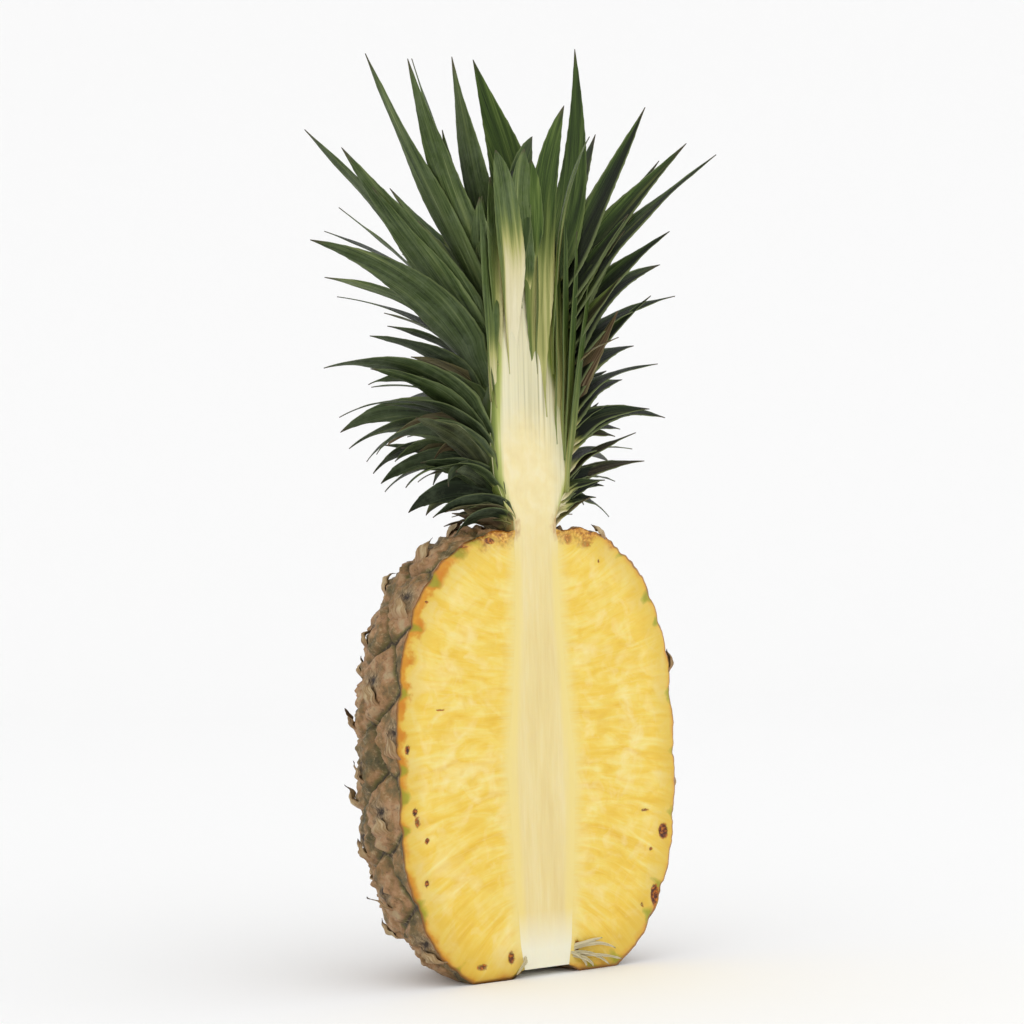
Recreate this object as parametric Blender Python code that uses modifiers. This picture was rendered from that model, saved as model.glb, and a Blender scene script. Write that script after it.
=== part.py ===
# Pineapple half, standing on its base with the cut face towards -Y.
# One core with the crown's stem runs through the flesh, and each crown leaf is a thin wavy solid.
import math

import bmesh
import bpy
import numpy as np
from mathutils import Vector

MM = 0.001
COLLECTION = "pineapple_half"
GOLDEN_ANGLE = math.radians(137.508)

# The fruit's axis and the cut, which passes a little in front of the axis, in mm
AXIS_Y = -22.5
CUT_Y = AXIS_Y - 3.0

# The fruit: a barrel of two half superellipses, flat where it stands, in mm
FRUIT_RADIUS = 65.0
FRUIT_TOP = 166.0
BELLY_HEIGHT = 77.0
UPPER_SHARPNESS = 2.75
LOWER_HEIGHT = 84.0
LOWER_SHARPNESS = 2.5
STALK_HOLLOW_RADIUS = 16.0
STALK_HOLLOW_DEPTH = 5.0
CROWN_HOLLOW_RADIUS = 20.0
CROWN_HOLLOW_DEPTH = 4.0
FRUIT_SEGMENTS = 80
FRUIT_RINGS = 42
BASE_RINGS = 5

# The rind's eyes and the bracts on them, in mm
EYE_COUNT = 128
GROOVE_DEPTH = 2.6
GROOVE_WIDTH = 6.5
EYE_CROWN = 1.2
FLAT_BASE_FADE = 9.0
BRACT_LENGTH = 8.0
BRACT_RADIUS = 2.6
BRACT_SINK = 1.6
BRACT_LOWEST = 14.0
BRACT_CUT_CLEARANCE = 5.0
NECK_BRACTS = 9
NECK_BRACT_LENGTH = 9.0
NECK_BRACT_RING = 24.0

# The core and the crown's stem: radius at a height, bottom to top, in mm
CORE_PROFILE = (
    (3.0, 9.6),
    (12.0, 11.0),
    (42.0, 13.0),
    (78.0, 14.8),
    (102.0, 12.0),
    (131.0, 9.8),
    (152.0, 9.2),
    (168.0, 9.8),
    (176.0, 13.6),
    (185.0, 17.4),
    (198.0, 18.5),
    (216.0, 17.0),
    (240.0, 14.2),
    (266.0, 11.0),
    (284.0, 7.6),
    (294.0, 4.0),
    (297.0, 2.0),
)
STEM_LEAN_START = 190.0
STEM_LEAN = 3.0
CORE_STEPS = 40
PIECE_GAP = 0.35

# Crown leaves, in mm and degrees
LEAF_THICKNESS = 0.9
LEAF_STATIONS = 9
LEAF_GAP = 0.6
LEAF_BASE_WIDTH = 0.58
LEAF_TIP_HALF_WIDTH = 0.35
LEAF_WIDENING = 1.1
LOWEST_LEAF = 169.0
HIGHEST_LEAF = 262.0
BASE_CROWDING = 1.5
LEAF_CLEARANCE = 1.55
LEAF_SPREAD = 0.85
BASE_AZIMUTH_MARGIN = 14.0
STEM_MIDDLE = 200.0
LOWEST_RISE = -31.0
HIGHEST_RISE = 84.0
LOW_START_ANGLE = 40.0
HIGH_START_ANGLE = 17.0
UPRIGHT_HEIGHT = 225.0
START_HANDLE = 0.32
END_HANDLE = 0.42

# The leaves that show: azimuth of the tip (0 to the right, 90 to the back, 180 to the left), its
# reach from the axis, its height, and the leaf's width
LEAVES = (
    (158, 46, 172, 11),
    (172, 40, 170, 10),
    (4, 32, 176, 11),
    (182, 56, 181, 12),
    (148, 55, 183, 11),
    (132, 60, 187, 11),
    (184, 70, 193, 12),
    (12, 48, 182, 11),
    (156, 67, 196, 12),
    (112, 74, 192, 12),
    (0, 48, 194, 12),
    (128, 74, 203, 13),
    (168, 74, 207, 13),
    (24, 60, 190, 12),
    (178, 86, 224, 15),
    (-4, 54, 209, 12),
    (4, 68, 206, 13),
    (100, 72, 214, 13),
    (120, 65, 220, 13),
    (14, 56, 221, 13),
    (-6, 57, 226, 13),
    (142, 58, 238, 13),
    (180, 92, 269, 17),
    (12, 61, 234, 13),
    (144, 74, 260, 14),
    (130, 73, 254, 14),
    (-4, 67, 252, 14),
    (116, 87, 281, 15),
    (12, 78, 266, 14),
    (99, 67, 272, 16),
    (176, 75, 303, 15),
    (-2, 67, 277, 16),
    (134, 70, 287, 14),
    (125, 76, 306, 14),
    (144, 80, 315, 15),
    (14, 76, 289, 15),
    (-8, 84, 306, 15),
    (104, 67, 297, 14),
    (10, 76, 306, 14),
    (-2, 76, 311, 15),
    (92, 56, 298, 16),
    (178, 48, 336, 14),
    (160, 58, 340, 13),
    (198, 26, 286, 12),
    (34, 84, 320, 15),
    (4, 62, 325, 16),
    (-8, 29, 311, 12),
    (127, 42, 342, 13),
    (164, 26, 339, 13),
    (6, 22, 323, 14),
    (96, 26, 342, 15),
    (26, 45, 348, 14),
    (40, 17, 312, 12),
    (196, 15, 304, 11),
    (65, 70, 292, 16),
    (72, 66, 240, 14),
    (56, 72, 210, 13),
)


def superellipse_profile(count):
    """Radius and height along the barrel's outline, bottom centre to top centre."""
    lean = np.linspace(-math.pi / 2, math.pi / 2, count)
    upper = lean > 0
    power = np.where(upper, 2 / UPPER_SHARPNESS, 2 / LOWER_SHARPNESS)
    reach = np.where(upper, FRUIT_TOP - BELLY_HEIGHT, LOWER_HEIGHT)
    radius = FRUIT_RADIUS * np.abs(np.cos(lean)) ** power
    height = BELLY_HEIGHT + reach * np.sign(lean) * np.abs(np.sin(lean)) ** power
    hollow = np.clip(1 - radius / STALK_HOLLOW_RADIUS, 0, 1)
    floor = STALK_HOLLOW_DEPTH * (1 - (1 - hollow) ** 2)
    neck = np.clip(1 - radius / CROWN_HOLLOW_RADIUS, 0, 1)
    height = np.where(upper, height - CROWN_HOLLOW_DEPTH * neck, np.maximum(height, floor))
    return radius, height


def profile_by_length(count=600):
    """The same outline, with the share of its length that lies below each point."""
    radius, height = superellipse_profile(count)
    steps = np.hypot(np.diff(radius), np.diff(height))
    length = np.concatenate(([0.0], np.cumsum(steps)))
    return length / length[-1], radius, height


def base_edge():
    """Share of the outline's length where the flat base ends and the side begins to rise."""
    share, radius, height = profile_by_length()
    side = (radius > STALK_HOLLOW_RADIUS) & (height > 0)
    return float(share[np.argmax(side) - 1])


def eye_centres():
    """Eyes on a golden-angle spiral, each with the same share of the rind's area."""
    share, radius, height = profile_by_length()
    area = np.concatenate(([0.0], np.cumsum(np.diff(share) * (radius[1:] + radius[:-1]))))
    number = np.arange(EYE_COUNT)
    at = np.interp((number + 0.5) / EYE_COUNT, area / area[-1], share)
    azimuth = number * GOLDEN_ANGLE
    ring = np.interp(at, share, radius)
    centres = np.column_stack((ring * np.cos(azimuth), ring * np.sin(azimuth)))
    return np.column_stack((centres, np.interp(at, share, height))), at, azimuth


def eye_relief(points, centres):
    """Rise over the barrel: a low dome on each eye and a groove where two eyes meet."""
    gaps = np.linalg.norm(points[:, None, :] - centres[None, :, :], axis=2)
    nearest = np.sort(gaps, axis=1)[:, :2]
    groove = np.clip((nearest[:, 1] - nearest[:, 0]) / GROOVE_WIDTH, 0, 1)
    groove = groove * groove * (3 - 2 * groove)
    dome = np.clip(1 - (nearest[:, 0] / 12.0) ** 2, 0, 1)
    return GROOVE_DEPTH * (groove - 1) + EYE_CROWN * dome


def outward(share):
    """Radial and upward parts of the outline's normal at a share of its length."""
    at, radius, height = profile_by_length()
    step = 0.004
    d_radius = np.interp(share + step, at, radius) - np.interp(share - step, at, radius)
    d_height = np.interp(share + step, at, height) - np.interp(share - step, at, height)
    size = np.hypot(d_radius, d_height)
    return d_height / size, -d_radius / size


def new_object(name, mesh, collection):
    obj = bpy.data.objects.new(name, mesh)
    collection.objects.link(obj)
    return obj


def mesh_from(name, bm):
    mesh = bpy.data.meshes.new(name)
    bm.to_mesh(mesh)
    bm.free()
    return mesh


def material(name, colour, roughness):
    mat = bpy.data.materials.new(name)
    mat.use_nodes = True
    shader = mat.node_tree.nodes["Principled BSDF"]
    shader.inputs["Base Color"].default_value = (*colour, 1.0)
    shader.inputs["Roughness"].default_value = roughness
    shader.inputs["Metallic"].default_value = 0.0
    return mat


def apply_modifiers(obj):
    """Swap the object's mesh for its evaluated one, with no modifier left."""
    graph = bpy.context.evaluated_depsgraph_get()
    mesh = bpy.data.meshes.new_from_object(obj.evaluated_get(graph))
    obj.modifiers.clear()
    obj.data = mesh
    return obj


def boolean(obj, operation, other=None, others=None, solver="EXACT"):
    modifier = obj.modifiers.new(operation.lower(), "BOOLEAN")
    modifier.operation = operation
    modifier.solver = solver
    if others is None:
        modifier.object = other
    else:
        modifier.operand_type = "COLLECTION"
        modifier.collection = others
    return modifier


def front_cutter(cutters):
    """A block in front of the cut, which takes away the other half."""
    bm = bmesh.new()
    bmesh.ops.create_cube(bm, size=1.0)
    bmesh.ops.scale(bm, vec=(0.4, 0.2, 0.8), verts=bm.verts)
    bmesh.ops.translate(bm, vec=(0.0, CUT_Y * MM - 0.1, 0.2), verts=bm.verts)
    cutter = new_object("cut_block", mesh_from("cut_block", bm), cutters)
    cutter.hide_render = True
    cutter.display_type = "WIRE"
    return cutter


def turned(name, grow, collection):
    """The core's profile turned round the fruit's axis, larger by grow all round."""
    profile = [(0.0, CORE_PROFILE[-1][0] + grow)]
    profile += [(radius + grow, height) for height, radius in reversed(CORE_PROFILE)]
    profile += [(profile[-1][0], CORE_PROFILE[0][0] - grow), (0.0, CORE_PROFILE[0][0] - grow)]
    bm = bmesh.new()
    verts = [bm.verts.new((radius * MM, 0.0, height * MM)) for radius, height in profile]
    for first, second in zip(verts, verts[1:]):
        bm.edges.new((first, second))
    obj = new_object(name, mesh_from(name, bm), collection)
    screw = obj.modifiers.new("turn", "SCREW")
    screw.steps = CORE_STEPS
    screw.render_steps = CORE_STEPS
    screw.use_merge_vertices = True
    screw.merge_threshold = 0.00005
    apply_modifiers(obj)
    for vert in obj.data.vertices:
        vert.co.x += stem_shift(vert.co.z / MM) * MM
        vert.co.y += AXIS_Y * MM
    return obj


def fruit_body(collection):
    """The whole barrel with its eyes: a sphere's grid moved onto the outline."""
    share, radius, height = profile_by_length()
    centres, _, _ = eye_centres()
    bm = bmesh.new()
    bmesh.ops.create_uvsphere(bm, u_segments=FRUIT_SEGMENTS, v_segments=FRUIT_RINGS, radius=1.0)
    ball = np.array([vert.co[:] for vert in bm.verts])
    even = np.arccos(np.clip(-ball[:, 2], -1, 1)) / math.pi
    at = np.interp(even, (0, BASE_RINGS / FRUIT_RINGS, 1), (0, base_edge(), 1))
    azimuth = np.arctan2(ball[:, 1], ball[:, 0])
    ring = np.interp(at, share, radius)
    rise = np.interp(at, share, height)
    points = np.column_stack((ring * np.cos(azimuth), ring * np.sin(azimuth), rise))
    relief = eye_relief(points, centres)
    relief *= np.clip((rise - 0.5) / FLAT_BASE_FADE, 0, 1)
    relief *= np.clip((ring - 12.0) / 8.0, 0, 1)
    out, up = outward(at)
    ring = ring + relief * out
    rise = rise + relief * up
    for vert, r, a, z in zip(bm.verts, ring, azimuth, rise):
        vert.co = (r * math.cos(a) * MM, (AXIS_Y + r * math.sin(a)) * MM, z * MM)
    return new_object("flesh", mesh_from("flesh", bm), collection)


def spike(name, foot, direction, length, radius, collection):
    """A five-sided cone from its foot along a direction."""
    bm = bmesh.new()
    bmesh.ops.create_cone(
        bm, cap_ends=True, segments=5, radius1=radius * MM, radius2=radius * 0.12 * MM, depth=length * MM
    )
    bmesh.ops.translate(bm, vec=(0, 0, length * MM / 2), verts=bm.verts)
    turn = Vector((0, 0, 1)).rotation_difference(Vector(direction)).to_matrix().to_4x4()
    bmesh.ops.transform(bm, matrix=turn, verts=bm.verts)
    bmesh.ops.translate(bm, vec=Vector(foot) * MM, verts=bm.verts)
    return new_object(name, mesh_from(name, bm), collection)


def bracts(collection):
    """A pointed bract on every eye that is clear of the cut and the base, and a ring at the neck."""
    centres, at, azimuth = eye_centres()
    out, up = outward(at)
    for number, (centre, angle, o, u) in enumerate(zip(centres, azimuth, out, up)):
        across = math.cos(angle), math.sin(angle)
        behind_cut = centre[1] + AXIS_Y - CUT_Y
        if behind_cut < BRACT_CUT_CLEARANCE or centre[2] < BRACT_LOWEST or o < 0.25:
            continue
        normal = Vector((across[0] * o, across[1] * o, u))
        rising = Vector((-across[0] * u, -across[1] * u, o))
        foot = Vector((centre[0], centre[1] + AXIS_Y, centre[2])) - normal * BRACT_SINK - rising * 3.0
        spike(f"bract_{number}", foot, normal * 0.62 + rising, BRACT_LENGTH, BRACT_RADIUS, collection)
    share, radius, height = profile_by_length()
    top = float(np.interp(-NECK_BRACT_RING, -radius[300:], height[300:]))
    for number in range(NECK_BRACTS):
        angle = math.pi * (number + 0.5) / NECK_BRACTS
        across = Vector((math.cos(angle), math.sin(angle), 0.0))
        foot = across * NECK_BRACT_RING + Vector((0.0, AXIS_Y, top - 2.0))
        spike(f"neck_bract_{number}", foot, across + Vector((0, 0, 0.9)), NECK_BRACT_LENGTH, 3.0, collection)


def tip_rise(leaf):
    """Angle of the leaf's tip above the horizontal, seen from the middle of the stem."""
    _, reach, tip_height, _ = leaf
    return math.degrees(math.atan2(tip_height - STEM_MIDDLE, reach))


def stem_radius(height):
    heights = [row[0] for row in CORE_PROFILE]
    return float(np.interp(height, heights, [row[1] for row in CORE_PROFILE]))


def start_angle(height):
    """Angle from the vertical at which a leaf leaves the stem, in radians."""
    low = min((height - LOWEST_LEAF) / (UPRIGHT_HEIGHT - LOWEST_LEAF), 1)
    return math.radians(LOW_START_ANGLE + (HIGH_START_ANGLE - LOW_START_ANGLE) * low)


def height_above(base, width, other, other_width):
    """Lowest height for a leaf beside another one whose base is lower: there the other leaf has
    moved out from the stem by more than a leaf's thickness."""
    azimuth, height = other
    spread = math.degrees(LEAF_SPREAD * (width + other_width) / 2 / stem_radius(height))
    beside = 1 - ((base[0] - azimuth) / spread) ** 2
    narrowing = stem_radius(height) - stem_radius(height + 1)
    step = LEAF_CLEARANCE / (math.tan(start_angle(height)) + narrowing)
    return height + step * math.sqrt(max(beside, 0)) if beside > 0 else 0.0


def leaf_bases(leaves):
    """Azimuth and height where each leaf leaves the stem: those that bend down most leave it
    lowest, and each is a step above the leaves beside it that are already there."""
    placed = []
    for row in leaves:
        azimuth = min(max(row[0], BASE_AZIMUTH_MARGIN), 180 - BASE_AZIMUTH_MARGIN)
        share = min(max((tip_rise(row) - LOWEST_RISE) / (HIGHEST_RISE - LOWEST_RISE), 0), 1)
        base = (azimuth, LOWEST_LEAF + (HIGHEST_LEAF - LOWEST_LEAF) * share ** BASE_CROWDING)
        lowest = max([height_above(base, row[3], other, width) for other, width in placed] + [base[1]])
        placed.append(((azimuth, lowest), row[3]))
    return [base for base, _ in placed]


def stem_shift(height):
    """How far the stem leans to the left of the fruit's axis at a height."""
    above = max(height - STEM_LEAN_START, 0) / (CORE_PROFILE[-1][0] - STEM_LEAN_START)
    return -STEM_LEAN * above ** 1.4


def leaf_points(leaf, base, along, across):
    """Points of a leaf's middle surface: a Bezier arch in reach and height, channelled across."""
    tip_azimuth, reach, tip_height, width = leaf
    azimuth, height = base
    start = start_angle(height)
    first = np.array([stem_radius(height) + LEAF_GAP + LEAF_THICKNESS / 2, height])
    last = np.array([reach, tip_height])
    chord = last - first
    length = math.hypot(*chord)
    end = min(2 * math.atan2(chord[0], chord[1]) - start, math.radians(150))
    second = first + length * START_HANDLE * np.array([math.sin(start), math.cos(start)])
    third = last - length * END_HANDLE * np.array([math.sin(end), math.cos(end)])
    s = along[:, None]
    line = first * (1 - s) ** 3 + second * 3 * s * (1 - s) ** 2 + third * 3 * s * s * (1 - s) + last * s ** 3
    slope = (second - first) * (1 - s) ** 2 + (third - second) * 2 * s * (1 - s) + (last - third) * s * s
    slope /= np.linalg.norm(slope, axis=1)[:, None]
    angle = np.radians(azimuth + (tip_azimuth - azimuth) * along ** 1.3)
    widening = np.minimum(1, LEAF_BASE_WIDTH + 1.6 * along)
    half = LEAF_WIDENING * width / 2 * widening * (1 - along ** 2.1) + LEAF_TIP_HALF_WIDTH
    channel = half ** 2 / (2 * (first[0] + 30 * along))
    outward_way = np.column_stack((np.cos(angle), np.sin(angle)))
    side_way = np.column_stack((-np.sin(angle), np.cos(angle)))
    inward = np.column_stack((-slope[:, 1:2] * outward_way, slope[:, 0]))
    middle = np.column_stack((line[:, :1] * outward_way, line[:, 1]))
    v = across[None, :, None]
    side = np.column_stack((side_way, np.zeros(len(along))))[:, None, :] * half[:, None, None] * v
    lift = inward[:, None, :] * channel[:, None, None] * v * v
    shift = np.column_stack((stem_shift(height) * (1 - along) ** 2, np.full(len(along), AXIS_Y), 0 * along))
    return middle[:, None, :] + side + lift + shift[:, None, :]


def leaf(name, row, base, collection):
    """A grid moved onto the leaf's middle surface, split into triangles, then given its thickness."""
    along = np.linspace(0, 1, LEAF_STATIONS)
    across = np.linspace(-1, 1, 3)
    points = leaf_points(row, base, along, across) * MM
    bm = bmesh.new()
    bmesh.ops.create_grid(bm, x_segments=len(across) - 1, y_segments=len(along) - 1, size=1.0)
    for vert in bm.verts:
        station = round((vert.co.y + 1) / 2 * (len(along) - 1))
        column = round((vert.co.x + 1) / 2 * (len(across) - 1))
        vert.co = points[station, column]
    bmesh.ops.triangulate(bm, faces=bm.faces)
    obj = new_object(name, mesh_from(name, bm), collection)
    solidify = obj.modifiers.new("thickness", "SOLIDIFY")
    solidify.thickness = LEAF_THICKNESS * MM
    solidify.offset = 0.0
    return obj


def make_flesh(parts, cutters, scraps):
    body = fruit_body(parts)
    bracts(scraps)
    boolean(body, "UNION", others=scraps, solver="MANIFOLD")
    boolean(body, "DIFFERENCE", other=cutters.objects["cut_block"], solver="MANIFOLD")
    boolean(body, "DIFFERENCE", other=turned("core_room", PIECE_GAP, cutters), solver="MANIFOLD")
    cutters.objects["core_room"].hide_render = True
    cutters.objects["core_room"].display_type = "WIRE"
    apply_modifiers(body)
    for scrap in list(scraps.objects):
        bpy.data.objects.remove(scrap)
    body.data.materials.clear()
    body.data.materials.append(material("ripe flesh with rind", (0.86, 0.62, 0.14), 0.45))


def make_core(parts, cutters):
    core = turned("core", 0.0, parts)
    boolean(core, "DIFFERENCE", other=cutters.objects["cut_block"], solver="MANIFOLD")
    apply_modifiers(core)
    core.data.materials.clear()
    core.data.materials.append(material("pale core", (0.88, 0.82, 0.52), 0.5))


def make_leaves(parts):
    green = material("crown leaf", (0.22, 0.30, 0.14), 0.55)
    leaves = sorted(LEAVES, key=tip_rise)
    for number, (row, base) in enumerate(zip(leaves, leaf_bases(leaves)), start=1):
        obj = leaf(f"leaf_{number:02d}", row, base, parts)
        obj.data.materials.append(green)
        obj.data.shade_smooth()


def main():
    for obj in list(bpy.data.objects):
        bpy.data.objects.remove(obj)
    parts = bpy.data.collections.new(COLLECTION)
    cutters = bpy.data.collections.new("cutters")
    scraps = bpy.data.collections.new("bracts")
    for collection in (parts, cutters, scraps):
        bpy.context.scene.collection.children.link(collection)
    front_cutter(cutters)
    make_flesh(parts, cutters, scraps)
    make_core(parts, cutters)
    make_leaves(parts)
    bpy.data.collections.remove(scraps)


if __name__ == "__main__":
    main()
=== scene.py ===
# A pineapple half standing on its base, cut lengthwise through the fruit and the crown.
# Lengths in the dictionaries are millimetres and angles are degrees; meshes are made in metres.
import math

import bmesh
import bpy
import numpy as np
from mathutils import Matrix, Vector


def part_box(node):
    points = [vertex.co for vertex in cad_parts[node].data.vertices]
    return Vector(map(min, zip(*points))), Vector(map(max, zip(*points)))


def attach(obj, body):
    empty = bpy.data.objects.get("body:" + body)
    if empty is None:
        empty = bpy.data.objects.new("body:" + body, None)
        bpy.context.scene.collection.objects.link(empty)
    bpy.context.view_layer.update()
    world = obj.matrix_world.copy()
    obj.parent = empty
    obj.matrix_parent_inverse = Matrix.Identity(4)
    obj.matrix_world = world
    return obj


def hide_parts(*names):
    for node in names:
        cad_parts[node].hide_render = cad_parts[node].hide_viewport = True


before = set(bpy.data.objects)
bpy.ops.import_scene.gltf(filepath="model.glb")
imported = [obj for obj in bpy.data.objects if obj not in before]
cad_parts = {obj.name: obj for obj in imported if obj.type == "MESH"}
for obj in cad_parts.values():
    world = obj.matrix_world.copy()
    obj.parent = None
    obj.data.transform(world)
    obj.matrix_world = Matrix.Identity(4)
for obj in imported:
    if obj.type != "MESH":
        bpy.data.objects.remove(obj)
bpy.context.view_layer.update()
mm = 0.001
goldenAngle = math.radians(137.508)
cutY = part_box("flesh")[0].y / mm        # the plane of the cut
axisY = cutY + 3.0                      # the fruit's axis lies a little behind it


def smooth(value):
    # 0 below 0, 1 above 1, and 3t^2 - 2t^3 between
    t = np.clip(value, 0, 1)
    return t * t * (3 - 2 * t)


def waves(points, size, seed, count=18):
    # an uneven field about 0: the sum of cosines in random directions, about size from crest to crest
    draw = np.random.default_rng(seed)
    direction = draw.normal(size=(count, points.shape[-1]))
    direction *= 2 * math.pi / size / np.linalg.norm(direction, axis=1)[:, None]
    direction *= draw.uniform(0.6, 1.5, (count, 1))
    phase = draw.uniform(0, 2 * math.pi, count)
    return np.cos(points @ direction.T + phase).sum(-1) / math.sqrt(count / 2) / 2


def makeMesh(name, points, quads, fields=None, slots=None, materials=()):
    # puts arrays of corners (mm) and four-cornered faces into a mesh, with one attribute for each field
    mesh = bpy.data.meshes.new(name)
    points = np.asarray(points, float).reshape(-1, 3) * mm
    quads = np.asarray(quads, np.int32).reshape(-1, 4)
    mesh.vertices.add(len(points))
    mesh.vertices.foreach_set("co", points.ravel())
    mesh.loops.add(quads.size)
    mesh.loops.foreach_set("vertex_index", quads.ravel())
    mesh.polygons.add(len(quads))
    mesh.polygons.foreach_set("loop_start", np.arange(0, quads.size, 4, dtype=np.int32))
    if slots is not None:
        mesh.polygons.foreach_set("material_index", np.asarray(slots, np.int32))
    mesh.update(calc_edges=True)
    for field, values in (fields or {}).items():
        values = np.asarray(values, np.float32)
        flat = values.size == len(points)
        layer = mesh.attributes.new(field, "FLOAT" if flat else "FLOAT_VECTOR", "POINT")
        layer.data.foreach_set("value" if flat else "vector", values.ravel())
    for material in materials:
        mesh.materials.append(material)
    mesh.shade_smooth()
    piece = bpy.data.objects.new(name, mesh)
    bpy.context.scene.collection.objects.link(piece)
    return piece


def gridFaces(rows, columns, joined=True):
    # faces of a grid of corners; joined means that its last column meets its first
    index = np.arange(rows * columns).reshape(rows, columns)
    if joined:
        index = np.concatenate((index, index[:, :1]), axis=1)
    return np.stack((index[:-1, :-1], index[:-1, 1:], index[1:, 1:], index[1:, :-1]), -1).reshape(-1, 4)


def capEnds(piece):
    # closes the two open ends of a tube, turns its faces outwards and keeps its edges sharp
    bm = bmesh.new()
    bm.from_mesh(piece.data)
    rims = [edge for edge in bm.edges if edge.is_boundary]
    caps = bmesh.ops.holes_fill(bm, edges=rims, sides=0)["faces"]
    for cap in caps:
        cap.material_index = 0
    bmesh.ops.triangulate(bm, faces=caps)
    bmesh.ops.recalc_face_normals(bm, faces=bm.faces)
    bm.to_mesh(piece.data)
    bm.free()
    piece.data.set_sharp_from_angle(angle=math.radians(55))
    return piece


def sheetFaces(count, rows, columns):
    # faces of closed sheets: the grid on the front, the same grid turned round on the back, and the rims
    index = np.arange(count * 2 * rows * columns).reshape(count, 2, rows, columns)
    front, back = index[:, 0], index[:, 1]

    def corners(side):
        return side[:, :-1, :-1], side[:, 1:, :-1], side[:, 1:, 1:], side[:, :-1, 1:]

    a, b, c, d = corners(front)
    e, f, g, h = corners(back)
    parts = [(a, b, c, d), (e, h, g, f)]
    parts.append((front[:, 0, :-1], front[:, 0, 1:], back[:, 0, 1:], back[:, 0, :-1]))
    parts.append((front[:, -1, 1:], front[:, -1, :-1], back[:, -1, :-1], back[:, -1, 1:]))
    parts.append((front[:, 1:, 0], front[:, :-1, 0], back[:, :-1, 0], back[:, 1:, 0]))
    parts.append((front[:, :-1, -1], front[:, 1:, -1], back[:, 1:, -1], back[:, :-1, -1]))
    return np.concatenate([np.stack(part, -1).reshape(-1, 4) for part in parts])


def sheetPoints(middle, thick):
    # the middle surface moved half the thickness along its normal, and the same the other way
    rowStep = np.gradient(middle, axis=-3)
    columnStep = np.gradient(middle, axis=-2)
    normal = np.cross(rowStep, columnStep)
    normal /= np.maximum(np.linalg.norm(normal, axis=-1, keepdims=True), 1e-9)
    lift = normal * thick[..., None] / 2
    return np.stack((middle + lift, middle - lift), axis=-4)


def hexColour(code):
    # an sRGB hex code as a linear colour
    values = [int(code[i:i + 2], 16) / 255 for i in (1, 3, 5)]
    linear = [v / 12.92 if v <= 0.04045 else ((v + 0.055) / 1.055) ** 2.4 for v in values]
    return (*linear, 1.0)


def connect(tree, socket, value):
    # gives a socket a value, a colour's hex code, another node's output, or a node's first output
    if isinstance(value, bpy.types.Node):
        value = value.outputs[0]
    if isinstance(value, bpy.types.NodeSocket):
        tree.links.new(value, socket)
    else:
        socket.default_value = hexColour(value) if isinstance(value, str) else value


def add(tree, kind, inputs=None, stops=None, **settings):
    # adds one node; inputs maps a socket to what it gets, stops are the places and codes of a colour ramp
    item = tree.nodes.new("ShaderNode" + kind)
    for name, value in settings.items():
        setattr(item, name, value)
    for socket, value in (inputs or {}).items():
        connect(tree, item.inputs[socket], value)
    if stops:
        elements = item.color_ramp.elements
        elements[0].position, elements[0].color = stops[0][0], hexColour(stops[0][1])
        elements[1].position, elements[1].color = stops[-1][0], hexColour(stops[-1][1])
        for place, code in stops[1:-1]:
            elements.new(place).color = hexColour(code)
    return item


def mix(tree, factor, first, second):
    # one colour over another by a factor
    return add(tree, "Mix", {0: factor, 6: first, 7: second}, data_type="RGBA").outputs[2]


def over(tree, colour, second, source, low, high, most=1.0, **settings):
    # a second colour over the first, from none where the source is low up to its most where it is high
    share = add(tree, "MapRange", {0: source, 1: low, 2: high, 4: most}, **settings)
    return mix(tree, share, colour, second)


def finish(tree, shader, colour, reliefs):
    # joins the colour and layers of fine relief to the shader: strength, depth in metres and height of each
    connect(tree, shader.inputs["Base Color"], colour)
    normal = {}
    for strength, depth, height in reliefs:
        bump = add(tree, "Bump", {"Strength": strength, "Distance": depth, "Height": height, **normal})
        normal = {"Normal": bump}
    connect(tree, shader.inputs["Normal"], bump)


def readField(tree, name):
    # a field of the mesh as a vector, and its three parts
    vector = add(tree, "Attribute", attribute_name=name).outputs["Vector"]
    return vector, add(tree, "SeparateXYZ", {0: vector}).outputs


def stretchedNoise(tree, vector, scale, detail, bend=0.0):
    # noise on coordinates that are stretched by a factor of their own each way
    scaled = add(tree, "VectorMath", {0: vector, 1: scale}, operation="MULTIPLY")
    return add(tree, "TexNoise", {"Vector": scaled, "Scale": 1.0, "Detail": detail, "Distortion": bend})


def newMaterial(name, **surface):
    # an empty material with its Principled shader; surface holds the shader's constant values
    material = bpy.data.materials.new(name)
    material.use_nodes = True
    shader = material.node_tree.nodes["Principled BSDF"]
    for socket, value in surface.items():
        shader.inputs[socket].default_value = value
    return material, material.node_tree, shader


# The fruit's outline
fruit = {
    "radius": 65.0,
    "top": 166.0,
    "belly": 77.0,              # height of the widest place
    "upperSharpness": 2.75,     # powers of the outline: 2 is round, more is squarer
    "lowerHeight": 84.0,
    "lowerSharpness": 2.5,
    "stalkHollow": (16.0, 5.0),     # radius and depth
    "crownHollow": (20.0, 4.0),
    "eyes": 128,
}


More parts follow.
